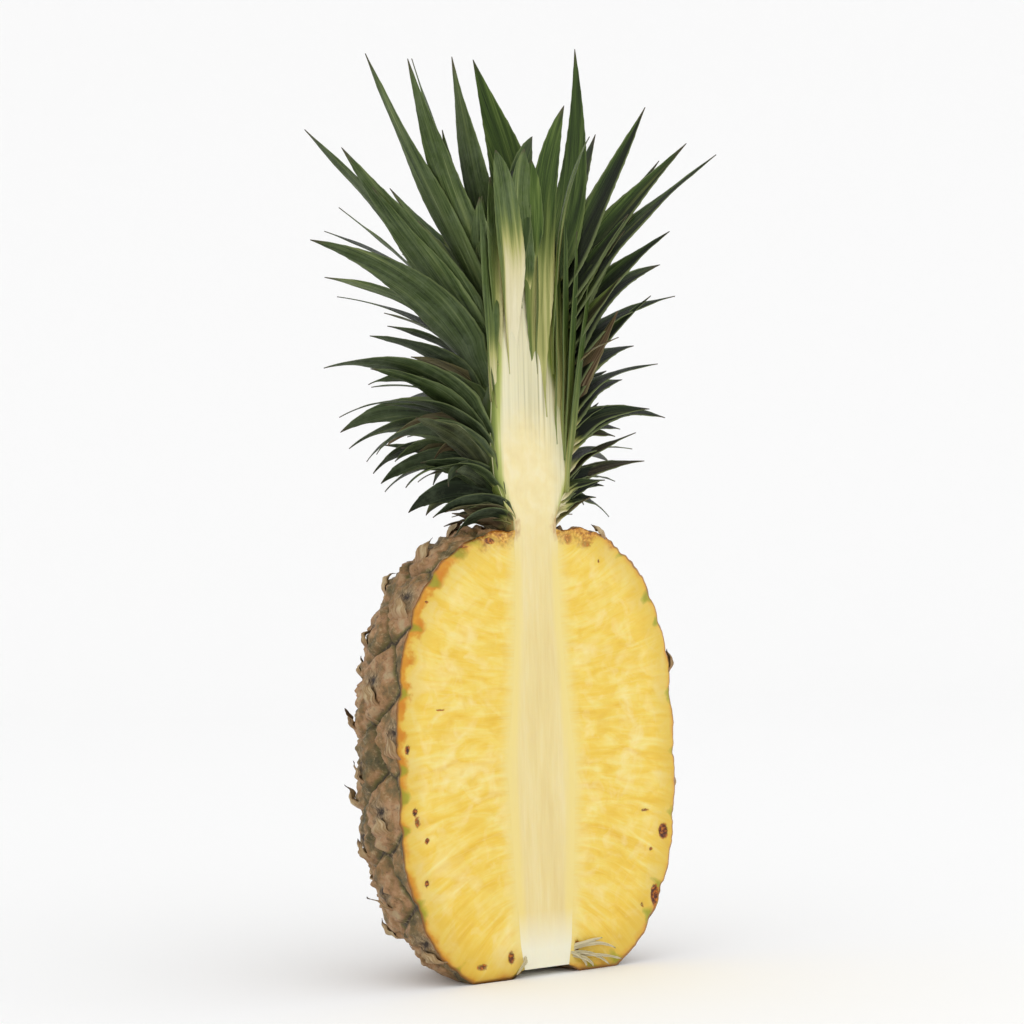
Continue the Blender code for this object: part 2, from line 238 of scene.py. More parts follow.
def fruitOutline(count=900):
    # radius and height of two half superellipses, from the bottom's centre to the top's,
    # each with the share of the outline's length below it
    lean = np.linspace(-math.pi / 2, math.pi / 2, count)
    upper = lean > 0
    power = np.where(upper, 2 / fruit["upperSharpness"], 2 / fruit["lowerSharpness"])
    reach = np.where(upper, fruit["top"] - fruit["belly"], fruit["lowerHeight"])
    radius = fruit["radius"] * np.abs(np.cos(lean)) ** power
    height = fruit["belly"] + reach * np.sign(lean) * np.abs(np.sin(lean)) ** power
    hollow = np.clip(1 - radius / fruit["stalkHollow"][0], 0, 1)
    floor = fruit["stalkHollow"][1] * (1 - (1 - hollow) ** 2)
    neck = np.clip(1 - radius / fruit["crownHollow"][0], 0, 1)
    height = np.where(upper, height - fruit["crownHollow"][1] * neck, np.maximum(height, floor))
    length = np.concatenate(([0.0], np.cumsum(np.hypot(np.diff(radius), np.diff(height)))))
    return length / length[-1], radius, height, length[-1]


outlineShare, outlineRadius, outlineHeight, outlineLength = fruitOutline()


def outlineAt(share):
    # radius, height and the outward normal of the outline at shares of its length
    def read(values, at):
        return np.interp(at, outlineShare, values)

    step = 0.004
    alongRadius = read(outlineRadius, share + step) - read(outlineRadius, share - step)
    alongHeight = read(outlineHeight, share + step) - read(outlineHeight, share - step)
    size = np.hypot(alongRadius, alongHeight)
    return read(outlineRadius, share), read(outlineHeight, share), alongHeight / size, -alongRadius / size


def eyeSpiral():
    # share of the outline and azimuth of each eye: steps of the golden angle, equal shares of the rind
    area = np.cumsum(np.diff(outlineShare) * (outlineRadius[1:] + outlineRadius[:-1]))
    area = np.concatenate(([0.0], area))
    number = np.arange(fruit["eyes"])
    at = np.interp((number + 0.5) / fruit["eyes"], area / area[-1], outlineShare)
    return at, number * goldenAngle


eyeShare, eyeAzimuth = eyeSpiral()
eyeRing, eyeHeight, eyeOut, eyeUp = outlineAt(eyeShare)
eyePlace = np.stack((eyeRing * np.cos(eyeAzimuth), eyeRing * np.sin(eyeAzimuth), eyeHeight), -1)
eyeNormal = np.stack((eyeOut * np.cos(eyeAzimuth), eyeOut * np.sin(eyeAzimuth), eyeUp), -1)
eyeSide = np.stack((-np.sin(eyeAzimuth), np.cos(eyeAzimuth), 0 * eyeAzimuth), -1)
eyeRise = np.cross(eyeNormal, eyeSide)

# The rind: what rises and sinks on it
rind = {
    "grooveDepth": 2.6,
    "grooveWidth": 5.4,
    "eyeCrown": 1.9,        # how far the middle of an eye stands up
    "eyeReach": 12.0,       # an eye's dome ends this far from its middle
    "hollow": (1.3, 3.2, 2.2, 1.5),     # the eye's dry hollow: depth, half width, half height, how far up
    "wrinkle": 0.75,        # height of the uneven surface, and below it how far from crest to crest
    "wrinkleSize": 4.5,
    "pucker": 0.32,
    "puckerSize": 2.4,
    "swell": 0.5,
    "swellSize": 14.0,
    "baseFade": 9.0,        # the relief grows over this height above the flat base
    "axisFade": (12.0, 8.0),    # it starts this far from the axis and grows over this width
    "cutFade": 12.0,        # and it grows over this depth behind the cut
    "atCut": 0.3,           # from this share of it at the cut
    "rows": 300,
    "around": 192,
}


def rindRelief(points, rise, ring):
    # height over the outline: a dome on the nearest eye, a groove where two eyes are as near, small wrinkles
    # and a hollow in the eye; also the place in the eye's own frame and how far from the groove
    gaps = np.linalg.norm(points[..., None, :] - eyePlace, axis=-1)
    nearest = np.argmin(gaps, axis=-1)
    twoNearest = np.partition(gaps, 1, axis=-1)[..., :2]
    groove = smooth((twoNearest[..., 1] - twoNearest[..., 0]) / rind["grooveWidth"])
    dome = np.clip(1 - (twoNearest[..., 0] / rind["eyeReach"]) ** 2, 0, 1)
    offset = points - eyePlace[nearest]
    eyeX = (offset * eyeSide[nearest]).sum(-1)
    eyeY = (offset * eyeRise[nearest]).sum(-1)
    relief = rind["grooveDepth"] * (groove - 1) + rind["eyeCrown"] * dome
    depth, halfWidth, halfHeight, above = rind["hollow"]
    relief -= depth * np.exp(-(eyeX / halfWidth) ** 2 - ((eyeY - above) / halfHeight) ** 2)
    wrinkles = rind["wrinkle"] * waves(points, rind["wrinkleSize"], 3) * (0.4 + groove)
    relief += wrinkles + rind["pucker"] * waves(points, rind["puckerSize"], 6, 30)
    relief += rind["swell"] * waves(points, rind["swellSize"], 4)
    start, width = rind["axisFade"]
    relief = relief * np.clip((rise - 0.5) / rind["baseFade"], 0, 1) * np.clip((ring - start) / width, 0, 1)
    fromCut = smooth((points[..., 1] + axisY - cutY) / rind["cutFade"])
    relief = relief * (rind["atCut"] + (1 - rind["atCut"]) * fromCut)
    return relief, np.stack((eyeX, eyeY, groove), -1), nearest


def rindPoints(share, azimuth):
    # points of the rind, its relief and what the relief is made of
    ring, rise, out, up = outlineAt(share)
    points = np.stack((ring * np.cos(azimuth), ring * np.sin(azimuth), rise), -1)
    relief, eye, nearest = rindRelief(points, rise, ring)
    ring = ring + relief * out
    place = np.stack((ring * np.cos(azimuth), axisY + ring * np.sin(azimuth), rise + relief * up), -1)
    return place, eye, nearest


# The core and the crown's stem: height and radius, bottom to top
stem = {
    "profile": (
        (3.0, 9.6), (12.0, 11.0), (42.0, 13.0), (78.0, 14.8), (102.0, 12.0), (131.0, 9.8),
        (152.0, 9.2), (168.0, 9.8), (176.0, 13.6), (185.0, 17.4), (198.0, 18.5), (216.0, 17.0),
        (240.0, 14.2), (266.0, 11.0), (284.0, 7.6), (294.0, 4.0), (297.0, 2.0),
    ),
    "leanStart": 190.0,
    "lean": 3.0,
    "top": 297.0,
}
stemHeights, stemRadii = np.array(stem["profile"]).T


def stemRadius(height):
    return np.interp(height, stemHeights, stemRadii)


def stemShift(height):
    # how far the stem leans to the left: a power of the height above the fruit
    above = np.maximum(height - stem["leanStart"], 0) / (stem["top"] - stem["leanStart"])
    return -stem["lean"] * above ** 1.4


# The cut face of the flesh
face = {
    "columns": 58,
    "channelColumns": 24,
    "roundLeft": (3.2, 1.5),    # the cut's left edge is rounded over this width and depth
    "roundRight": (2.0, 0.7),
    "drawIn": 0.04,         # the fruit is this much narrower at the cut than behind it
    "drawInDepth": 22.0,
    "fibreDepth": 0.06,     # how deep the grooves between the fibres are, and how far apart
    "fibreSize": 2.6,
    "fibreStretch": 0.09,   # a fibre's width as a share of its length
    "swell": 0.35,          # height of the cut's slow waves, and how long they are
    "swellSize": 22.0,
    "spreadPower": 1.15,    # over 1 the cut's columns are closer together by the rind
    "levelPower": 1.7,      # over 1 the cut's rows stay level for longer
    "bottomRing": 12.0,     # radius of the rings where the rind's rows start and end
    # spots on the cut: place across, height, half width, half height, depth, darkness
    "spots": (
        (-58.6, 87.1, 1.2, 2.2, 0.9, 0.75), (-55.9, 64.5, 1.3, 1.6, 1, 0.85),
        (-54.9, 60.8, 1.5, 2.6, 1.2, 0.55), (-51.1, 53.9, 1, 1.2, 0.9, 0.9),
        (-51.6, 38.5, 1.1, 1.5, 0.8, 0.8), (-48.8, 139.7, 0.7, 0.7, 0.5, 0.8),
        (47.3, 57.3, 2.2, 0.7, 0.6, 0.6), (56.2, 48.6, 2.3, 3, 1.4, 1), (49.7, 42.3, 1, 1.2, 0.7, 0.6),
        (51.5, 24.7, 1.9, 4.3, 1.5, 1), (45.2, 21.6, 1, 1.3, 0.6, 0.6),
        (-32.1, 159.1, 2.6, 0.7, 0.5, 0.55), (-20.6, 161, 2.6, 1.4, 0.9, 0.8),
        (-15.5, 163, 1.6, 1.2, 0.8, 0.5), (15, 161, 2.2, 2.5, 0.9, 0.5),
        (23.5, 158.6, 3.2, 1.6, 0.8, 0.45), (28.7, 152.1, 0.6, 0.9, 0.5, 0.6),
        (-28.6, 6, 2.8, 1.4, 0.8, 0.6), (-15.6, 8, 1.6, 2.8, 1, 0.7), (-44.3, 100.5, 2.4, 0.4, 0.3, 0.65),
        (14.4, 9, 1.2, 3.4, 1.1, 0.6),
    ),
}


def drawnIn(points):
    # the fruit's width near the cut, as a share of the full one
    return 1 - face["drawIn"] * (1 - smooth((points[..., 1] - cutY) / face["drawInDepth"]))


def makeFlesh(materials):
    # Rows go from the base to the neck. Columns go round: the cut's right half from the core out, the rind,
    # the cut's left half back to the core, and the core's channel. A row on the cut runs level from the core
    # and bends to its place on the rind by a power of the way out.
    share = np.linspace(0, 1, rind["rows"])
    widest = len(outlineShare) // 2
    first = np.interp(-face["bottomRing"], -outlineRadius[widest::-1], outlineShare[widest::-1])
    last = np.interp(-face["bottomRing"], -outlineRadius[widest:], outlineShare[widest:])
    share = first + (last - first) * share
    ring = outlineAt(share)[0]
    turn = np.linspace(0, math.pi, rind["around"] + 1)
    behind = cutY - axisY
    far = -behind * np.sin(turn) + np.sqrt(ring[:, None] ** 2 - (behind * np.cos(turn)) ** 2)
    azimuth = np.arctan2(behind + far * np.sin(turn), far * np.cos(turn))
    outer, eye, nearest = rindPoints(np.broadcast_to(share[:, None], azimuth.shape), azimuth)
    outer[..., 0] *= drawnIn(outer)
    outer[..., 1] = np.maximum(outer[..., 1], cutY)
    outer[:, (0, -1), 1] = cutY
    low, high = outer[0, 0, 2] + 1.0, outer[-1, 0, 2] + 0.5
    inner = low + (high - low) * np.linspace(0, 1, rind["rows"])
    t = np.linspace(0, 1, face["columns"] + 1)[:-1]
    across = 1 - (1 - t) ** face["spreadPower"]
    parts, fibres, edges = [], [], []
    for edge, way in ((0, 1), (-1, -1)):
        outX, outZ = outer[:, edge, 0], outer[:, edge, 2]
        inX = stemShift(inner) + way * np.sqrt(stemRadius(inner) ** 2 - behind ** 2)
        x = inX[:, None] + (outX - inX)[:, None] * across
        z = inner[:, None] + (outZ - inner)[:, None] * across ** face["levelPower"]
        toRind = np.abs(outX[:, None] - x)
        width, drop = face["roundRight"] if way > 0 else face["roundLeft"]
        y = drop * np.clip(1 - toRind / width, 0, 1) ** 2
        fromCore = np.abs(x - inX[:, None])
        fibre = np.stack((fromCore, np.broadcast_to(share[:, None] * outlineLength, x.shape), z), -1)
        thin, thick = fibre * np.array([face["fibreStretch"], 1, 0]), fibre * np.array([0.5, 1, 0])
        meets = smooth(fromCore / 4)      # flat where the flesh meets the core
        y = y - face["fibreDepth"] * waves(thin, face["fibreSize"], 11 + way) * smooth(toRind / 4) * meets
        y = y - face["swell"] * waves(thick, face["swellSize"], 21 + way) * smooth(toRind / 6) * meets
        pit = np.zeros(x.shape)
        for spotX, spotZ, halfWidth, halfHeight, depth, dark in face["spots"]:
            away = ((x - spotX) / halfWidth) ** 2 + ((z - spotZ) / halfHeight) ** 2
            y = y + depth * np.exp(-away)
            pit = np.maximum(pit, dark * np.exp(-away * away))
        grooved = 1 - eye[:, edge, 2]
        points = np.stack((x, cutY + y, z), -1)
        field = np.stack((toRind, np.broadcast_to(grooved[:, None], x.shape), pit), -1)
        fibre[..., 2] = fromCore
        if way < 0:
            points, field, fibre = points[:, ::-1], field[:, ::-1], fibre[:, ::-1]
            outer[:, -1, 1] += drop
        else:
            outer[:, 0, 1] += drop
        parts.append(points)
        edges.append(field)
        fibres.append(fibre)
    start = np.arcsin(behind / stemRadius(inner))
    turnBack = np.linspace(1, 0, face["channelColumns"] + 1)[1:-1]
    back = start[:, None] + (math.pi - 2 * start)[:, None] * turnBack
    wall = stemRadius(inner)[:, None]
    channel = np.stack((stemShift(inner)[:, None] + wall * np.cos(back), axisY + wall * np.sin(back),
                        np.broadcast_to(inner[:, None], back.shape)), -1)
    points = np.concatenate((parts[0], outer, parts[1], channel), axis=1)
    rows, columns = points.shape[:2]
    none = np.zeros((rows, 1, 3))

    def spread(right, left, middle=None):
        middle = np.repeat(none, outer.shape[1], 1) if middle is None else middle
        return np.concatenate((right, middle, left, np.repeat(none, channel.shape[1], 1)), axis=1)

    rightCut, around = parts[0].shape[1], outer.shape[1]
    column = np.broadcast_to(np.arange(columns), (rows - 1, columns))
    slots = ((column < rightCut) | (column >= rightCut + around - 1)).astype(int).ravel()
    tone = np.random.default_rng(5).uniform(-1, 1, fruit["eyes"])[nearest]
    toneField = np.zeros((rows, columns))
    toneField[:, rightCut:rightCut + around] = tone
    fields = {
        "edge": spread(edges[0], edges[1]),
        "fibre": spread(fibres[0], fibres[1]),
        "eye": spread(np.repeat(none, rightCut, 1), np.repeat(none, rightCut, 1), eye),
        "tone": toneField,
    }
    return capEnds(makeMesh("flesh_and_rind", points, gridFaces(rows, columns), fields, slots, materials))


# Rind of a ripe pineapple, dried on the plant: matt and leathery, tan and pink eyes with olive grooves
def rindMaterial():
    material, tree, shader = newMaterial("pineapple rind, ripened and dried", Roughness=0.62)
    coords = add(tree, "TexCoord").outputs["Object"]
    eye, parts = readField(tree, "eye")
    groove = parts[2]
    tone = add(tree, "Attribute", attribute_name="tone").outputs["Fac"]
    patches = add(tree, "TexNoise", {"Vector": coords, "Scale": 130.0, "Detail": 5.0, "Roughness": 0.6})
    tint = add(tree, "Math", {0: tone, 1: 0.08, 2: patches}, operation="MULTIPLY_ADD")
    skin = add(tree, "ValToRGB", {0: tint}, stops=(
        (0.3, "#464222"), (0.41, "#725F38"), (0.5, "#8E6C40"), (0.6, "#A98058"), (0.72, "#AD9670")))
    # papery grey towards the middle of the eye, where the dried flower sits
    middle = add(tree, "VectorMath", {0: eye, 1: (0.2, 0.17, 0.0)}, operation="MULTIPLY")
    fromMiddle = add(tree, "VectorMath", {0: middle}, operation="LENGTH")
    ragged = add(tree, "Math", {0: patches, 1: 1.4, 2: fromMiddle.outputs["Value"]}, operation="MULTIPLY_ADD")
    grain = stretchedNoise(tree, eye, (2.4, 0.5, 1.0), 4.0)
    paper = add(tree, "ValToRGB", {0: grain}, stops=(
        (0.3, "#4A3B26"), (0.48, "#85704F"), (0.7, "#B9A27E")))
    colour = over(tree, skin, paper, ragged, 1.9, 1.3, 0.85)
    # a dark dry hollow just above the middle
    hollowAt = add(tree, "VectorMath", {0: eye, 1: (0.0, -1.4, 0.0)}, operation="ADD")
    hollowSize = add(tree, "VectorMath", {0: hollowAt, 1: (0.34, 0.5, 0.0)}, operation="MULTIPLY")
    hollow = add(tree, "VectorMath", {0: hollowSize}, operation="LENGTH")
    ragged = add(tree, "Math", {0: grain, 1: 0.9, 2: hollow.outputs["Value"]}, operation="MULTIPLY_ADD")
    colour = over(tree, colour, "#33261B", ragged, 1.5, 0.8)
    # olive sides of the groove and its thin dark floor, with painted shade darkening the groove's sides
    green = add(tree, "MapRange", {0: groove, 1: 0.75, 2: 0.15})
    patchy = add(tree, "Math", {0: green, 1: patches}, operation="MULTIPLY")
    colour = over(tree, colour, "#74702F", patchy, 0.12, 0.55)
    colour = over(tree, colour, "#33240F", groove, 0.22, 0.02)      # the groove's floor
    colour = over(tree, colour, "#3A2C18", groove, 0.75, 0.15, 0.45)      # painted shade down the groove's sides
    # blotches of the whole rind: grey dust and darker brown
    cloud = add(tree, "TexNoise", {"Vector": coords, "Scale": 420.0, "Detail": 6.0, "Roughness": 0.7})
    colour = over(tree, colour, "#BDA57C", cloud, 0.54, 0.7, 0.7)      # grey dust
    colour = over(tree, colour, "#4A3520", cloud, 0.46, 0.3, 0.75)      # worn brown
    fine = add(tree, "TexNoise", {"Vector": coords, "Scale": 900.0, "Detail": 4.0})
    finish(tree, shader, colour, ((0.8, 0.0008, cloud), (0.5, 0.0003, fine)))
    return material


# Ripe flesh, freshly cut: wet, soft and partly clear, golden with paler fibres and a green-orange edge
def fleshMaterial():
    material, tree, shader = newMaterial("pineapple flesh, freshly cut", **{
        "Roughness": 0.36, "IOR": 1.36, "Subsurface Radius": (1.0, 0.7, 0.25),
        "Subsurface Scale": 0.004, "Coat Weight": 0.2, "Coat Roughness": 0.2})
    coords = add(tree, "TexCoord").outputs["Object"]
    toRind, groove, pit = readField(tree, "edge")[1]
    out, along, toCore = readField(tree, "fibre")[1]

    def streaks(across, up, detail, seed, bend):
        stretched = add(tree, "CombineXYZ", {
            0: add(tree, "Math", {0: out, 1: across}, operation="MULTIPLY"),
            1: add(tree, "Math", {0: along, 1: up}, operation="MULTIPLY"), 2: seed})
        settings = {"Vector": stretched, "Scale": 1.0, "Detail": detail, "Distortion": bend}
        return add(tree, "TexNoise", settings)

    body = add(tree, "ValToRGB", {0: streaks(0.06, 0.2, 3.0, 1.0, 0.8)}, stops=(
        (0.3, "#F0DB80"), (0.44, "#EFD264"), (0.58, "#EDC94E"), (0.74, "#E6BC3C")))
    fine = streaks(0.07, 0.9, 4.0, 5.0, 0.5)
    colour = over(tree, body, "#F9EBB0", fine, 0.52, 0.78, 0.2)      # pale threads
    clear = add(tree, "TexNoise", {"Vector": coords, "Scale": 60.0, "Detail": 3.0, "Distortion": 1.2})
    colour = over(tree, colour, "#EBC444", clear, 0.54, 0.74, 0.5)      # clear and deep
    colour = over(tree, colour, "#F4E6AC", clear, 0.47, 0.3, 0.45)      # milky
    sacs = add(tree, "TexNoise", {"Vector": coords, "Scale": 140.0, "Detail": 3.0, "Distortion": 0.6})
    colour = over(tree, colour, "#E6BC3E", sacs, 0.46, 0.26, 0.5)      # full sacs
    colour = over(tree, colour, "#F7EBB8", sacs, 0.54, 0.76, 0.35)      # dry pulp
    # paler by the core and just inside the rind
    coreward = add(tree, "Math", {0: fine, 1: 7.0, 2: toCore}, operation="MULTIPLY_ADD")
    colour = over(tree, colour, "#EDD88A", coreward, 11.0, 2.5, interpolation_type="SMOOTHSTEP")
    jagged = add(tree, "Math", {0: sacs, 1: -3.2, 2: toRind}, operation="MULTIPLY_ADD")
    colour = over(tree, colour, "#D6B548", jagged, 9.0, 0.5, 0.65)
    # amber edge, green where two eyes meet, with a thin brown line under the rind
    across, _, height = add(tree, "SeparateXYZ", {0: coords}).outputs
    toLeft = add(tree, "MapRange", {0: across, 1: -0.02, 2: -0.045})
    toTop = add(tree, "MapRange", {0: height, 1: 0.07, 2: 0.1, 3: 0.35})
    band = add(tree, "Math", {0: toLeft, 1: toTop}, operation="MULTIPLY")
    blotch = add(tree, "TexNoise", {"Vector": coords, "Scale": 150.0, "Detail": 3.0})
    some = add(tree, "MapRange", {0: blotch, 1: 0.38, 2: 0.58})
    wide = add(tree, "Math", {0: band, 1: some}, operation="MULTIPLY")
    reached = add(tree, "Math", {0: wide, 1: -3.6, 2: jagged}, operation="MULTIPLY_ADD")
    amber = add(tree, "ValToRGB", {0: blotch}, stops=((0.35, "#D9A02A"), (0.62, "#CB8214")))
    colour = over(tree, colour, amber, reached, 1.0, -2.2, interpolation_type="SMOOTHSTEP")
    uneven = add(tree, "Math", {0: blotch, 1: 9.0, 2: -4.6}, operation="MULTIPLY_ADD")
    reach = add(tree, "Math", {0: groove, 1: 4.0, 2: uneven}, operation="MULTIPLY_ADD")
    notch = add(tree, "Math", {0: reach, 1: toRind}, operation="SUBTRACT")
    colour = over(tree, colour, "#8E9A1E", notch, 0.0, 2.4, 0.75)
    colour = over(tree, colour, "#9A6A35", toRind, 0.9, 0.3)
    # the spots, and brown patches at the neck
    frayed = add(tree, "TexNoise", {"Vector": coords, "Scale": 900.0, "Detail": 3.0})
    spotAt = add(tree, "Math", {0: frayed, 1: 0.9, 2: pit}, operation="MULTIPLY_ADD")
    spotColour = add(tree, "ValToRGB", {0: frayed}, stops=(
        (0.38, "#43200F"), (0.5, "#7A3D16"), (0.66, "#C9781F")))
    colour = over(tree, colour, spotColour, spotAt, 0.72, 1.0)
    neckAt = add(tree, "MapRange", {0: height, 1: 0.147, 2: 0.165})
    neckPatch = add(tree, "Math", {0: blotch, 1: 1.3, 2: neckAt}, operation="MULTIPLY_ADD")
    neckColour = add(tree, "ValToRGB", {0: frayed}, stops=(
        (0.36, "#8A4A22"), (0.55, "#D08F35"), (0.7, "#E8C46C")))
    colour = over(tree, colour, neckColour, neckPatch, 1.25, 1.6, 0.8)
    finish(tree, shader, colour, ((0.4, 0.0007, sacs), (0.2, 0.0003, fine)))
    # no light passes through the thin edge by the core
    clearness = add(tree, "MapRange", {0: toCore, 1: 0.0, 2: 5.0, 3: 0.0, 4: 0.3})
    connect(tree, shader.inputs["Subsurface Weight"], clearness)
    return material


flesh = makeFlesh((rindMaterial(), fleshMaterial()))
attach(flesh, "root")
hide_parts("flesh")
print("flesh and rind:", len(flesh.data.polygons), "faces")

# Papery scales, one on each eye
scales = {
    "rows": 15,
    "columns": 9,
    "width": 12.0,
    "foot": -8.2,           # where a scale starts below the middle of its eye
    "length": 9.8,
    "curl": 2.5,            # how far the tip stands off the rind
    "keel": 0.7,            # how far its middle stands up
    "drop": 0.5,            # and its margins go down
    "sunk": 0.5,            # how deep its foot is in the rind
    "crumple": 0.4,
    "thickness": 0.45,
    "lowest": 9.0,
}


def scaleSurface(azimuth, share, size, curl, turn):
    # one scale on the rind: half width falls to the tip by a power, the height over the rind grows with the
    # cube of the way up, the middle stands up as a keel and the tip leans aside by turn
    u = np.linspace(0, 1, scales["rows"])[:, None]
    v = np.linspace(-1, 1, scales["columns"])[None, :]
    half = scales["width"] / 2 * size * (1 - u ** 1.5) * (0.72 + 0.6 * u * (1 - u)) + 0.12
    sideways = half * v + turn * 3 * u ** 2
    upwards = scales["foot"] * size + scales["length"] * size * (u - 0.12 * u * v * v)
    ring = outlineAt(np.array([share]))[0][0]
    at = np.clip(share + upwards / outlineLength, 0.02, 0.985)
    points = rindPoints(at, azimuth + sideways / max(ring, 16))[0]
    _, _, out, up = outlineAt(at)
    normal = np.stack((out * np.cos(azimuth), out * np.sin(azimuth), up), -1)
    keel = scales["keel"] * (1 - v * v) * np.sin(math.pi * u)
    lift = -scales["sunk"] + 1.7 * smooth(u * 3) + curl * u ** 3 + keel - scales["drop"] * np.abs(v) ** 3
    lift = lift + scales["crumple"] * waves(points, 5, 31)
    points = points + normal * lift[..., None]
    points[..., 0] *= drawnIn(points)
    points[..., 1] = np.maximum(points[..., 1], cutY + 0.4)     # the knife went through the ones by the cut
    return points


def makeScales(material):
    draw = np.random.default_rng(12)
    sheets, tones = [], []
    for number in range(fruit["eyes"]):
        size = draw.uniform(0.75, 1.05)
        curl = 0.35 + 1.5 * draw.uniform() ** 3
        turn = draw.uniform(-1, 1)
        tone = draw.uniform(0, 1)
        y = eyePlace[number, 1] + axisY
        if y < cutY - 2.0 or eyePlace[number, 2] < scales["lowest"] or eyeOut[number] < 0.2:
            continue
        sheets.append(scaleSurface(eyeAzimuth[number], eyeShare[number], size, curl * scales["curl"], turn))
        tones.append(tone)
    sheets = np.array(sheets)
    u = np.linspace(0, 1, scales["rows"])
    v = np.linspace(-1, 1, scales["columns"])
    thick = scales["thickness"] * (1 - 0.75 * v ** 4)[None, :] * (1 - 0.6 * u)[:, None]
    points = sheetPoints(sheets, np.broadcast_to(thick, sheets.shape[:3]))
    shape = points.shape[:4]
    place = np.stack((np.broadcast_to(u[:, None], shape), np.broadcast_to(v, shape),
                      np.broadcast_to(np.array(tones)[:, None, None, None], shape)), -1)
    faces = sheetFaces(len(sheets), scales["rows"], scales["columns"])
    return makeMesh("eye_scales", points, faces, {"place": place}, materials=(material,))


# Dried bract, paper thin: pale grey and tan with lengthwise veins, browner to its brittle dark tip
def scaleMaterial():
    material, tree, shader = newMaterial("pineapple bract, dried to paper", Roughness=0.7)
    place, (along, _, tone) = readField(tree, "place")
    veins = stretchedNoise(tree, place, (1.6, 4.0, 40.0), 4.0)
    tint = add(tree, "Math", {0: tone, 1: 0.22, 2: veins}, operation="MULTIPLY_ADD")
    paper = add(tree, "ValToRGB", {0: tint}, stops=(
        (0.36, "#55412A"), (0.5, "#80643F"), (0.62, "#9E8158"), (0.78, "#B7A27C")))
    colour = over(tree, paper, "#9A6E4A", along, 0.35, 0.0, 0.75)      # its foot
    colour = over(tree, colour, "#46321F", along, 0.72, 0.97)      # its tip
    finish(tree, shader, colour, ((0.4, 0.0003, veins),))
    return material


eyeScales = makeScales(scaleMaterial())
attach(eyeScales, "root")
print("eye scales:", len(eyeScales.data.polygons), "faces")

# The core and the stem
heart = {
    "rows": 460,
    "front": 56,
    "back": 36,
    "ridge": 0.3,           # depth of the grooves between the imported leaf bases
    "lap": 0.9,             # the front's border lies over the flesh by this much
    "bulb": (-3.5, 176.0, 15.5, 32.0),      # the growing tip: middle across and up, half width, half height
}


def makeCore(material):
    # a turned profile with a flat front: columns of equal width on the chord, then round the back
    height = np.linspace(stemHeights[0], stemHeights[-1], heart["rows"])[:, None]
    radius = stemRadius(height)
    depth = np.minimum(axisY - cutY, 0.9 * radius)
    half = np.sqrt(radius ** 2 - depth ** 2)
    u = np.linspace(-1, 1, heart["front"] + 1)[None, :]
    x = half * u
    start = np.arcsin(-depth / radius)
    turn = np.linspace(0, 1, heart["back"] + 1)[None, 1:-1]
    angle = start + (math.pi - 2 * start) * turn
    z = np.broadcast_to(height, x.shape)
    lines = waves(np.stack((x, z * 0.02), -1), 1.8, 41)
    leafy = leafyShare(x, z)
    groove = (0.03 + heart["ridge"] * leafy) * lines * (1 - np.abs(u) ** 6)
    edge = 1.2 * np.abs(u) ** 8 * smooth((z - 166) / 8)
    lap = heart["lap"] * np.abs(u) ** 12 * (1 - smooth((z - 160) / 4))
    front = np.stack((x + lap * np.sign(u) + stemShift(z), axisY - depth - groove + edge - 0.03, z), -1)
    backZ = np.broadcast_to(height, angle.shape)
    back = np.stack((radius * np.cos(angle) + stemShift(backZ), axisY + radius * np.sin(angle), backZ), -1)
    points = np.concatenate((front, back), axis=1)
    rows, columns = points.shape[:2]
    cutShare = np.concatenate((leafy, np.ones(back.shape[:2])), axis=1)
    side = np.concatenate((np.broadcast_to(u, x.shape), np.full(back.shape[:2], 1.5)), axis=1)
    bulbX, bulbZ, bulbWide, bulbHigh = heart["bulb"]
    inBulb = 1 - ((points[..., 0] - bulbX) / bulbWide) ** 2 - ((points[..., 2] - bulbZ) / bulbHigh) ** 2
    fields = {"cut": np.stack((cutShare, side, inBulb), -1)}
    return capEnds(makeMesh("core_and_stem", points, gridFaces(rows, columns), fields, materials=(material,)))


def leafyShare(x, z):
    # 1 where the cut shows packed leaf bases and 0 in the white heart; the border moves left as it rises
    border = np.interp(z, (195, 206, 219, 238, 250, 277, 290), (15, 11.5, 8, 2.5, -1, -6, -16))
    return smooth((x - border) / 3.5) * smooth((z - 190) / 14)


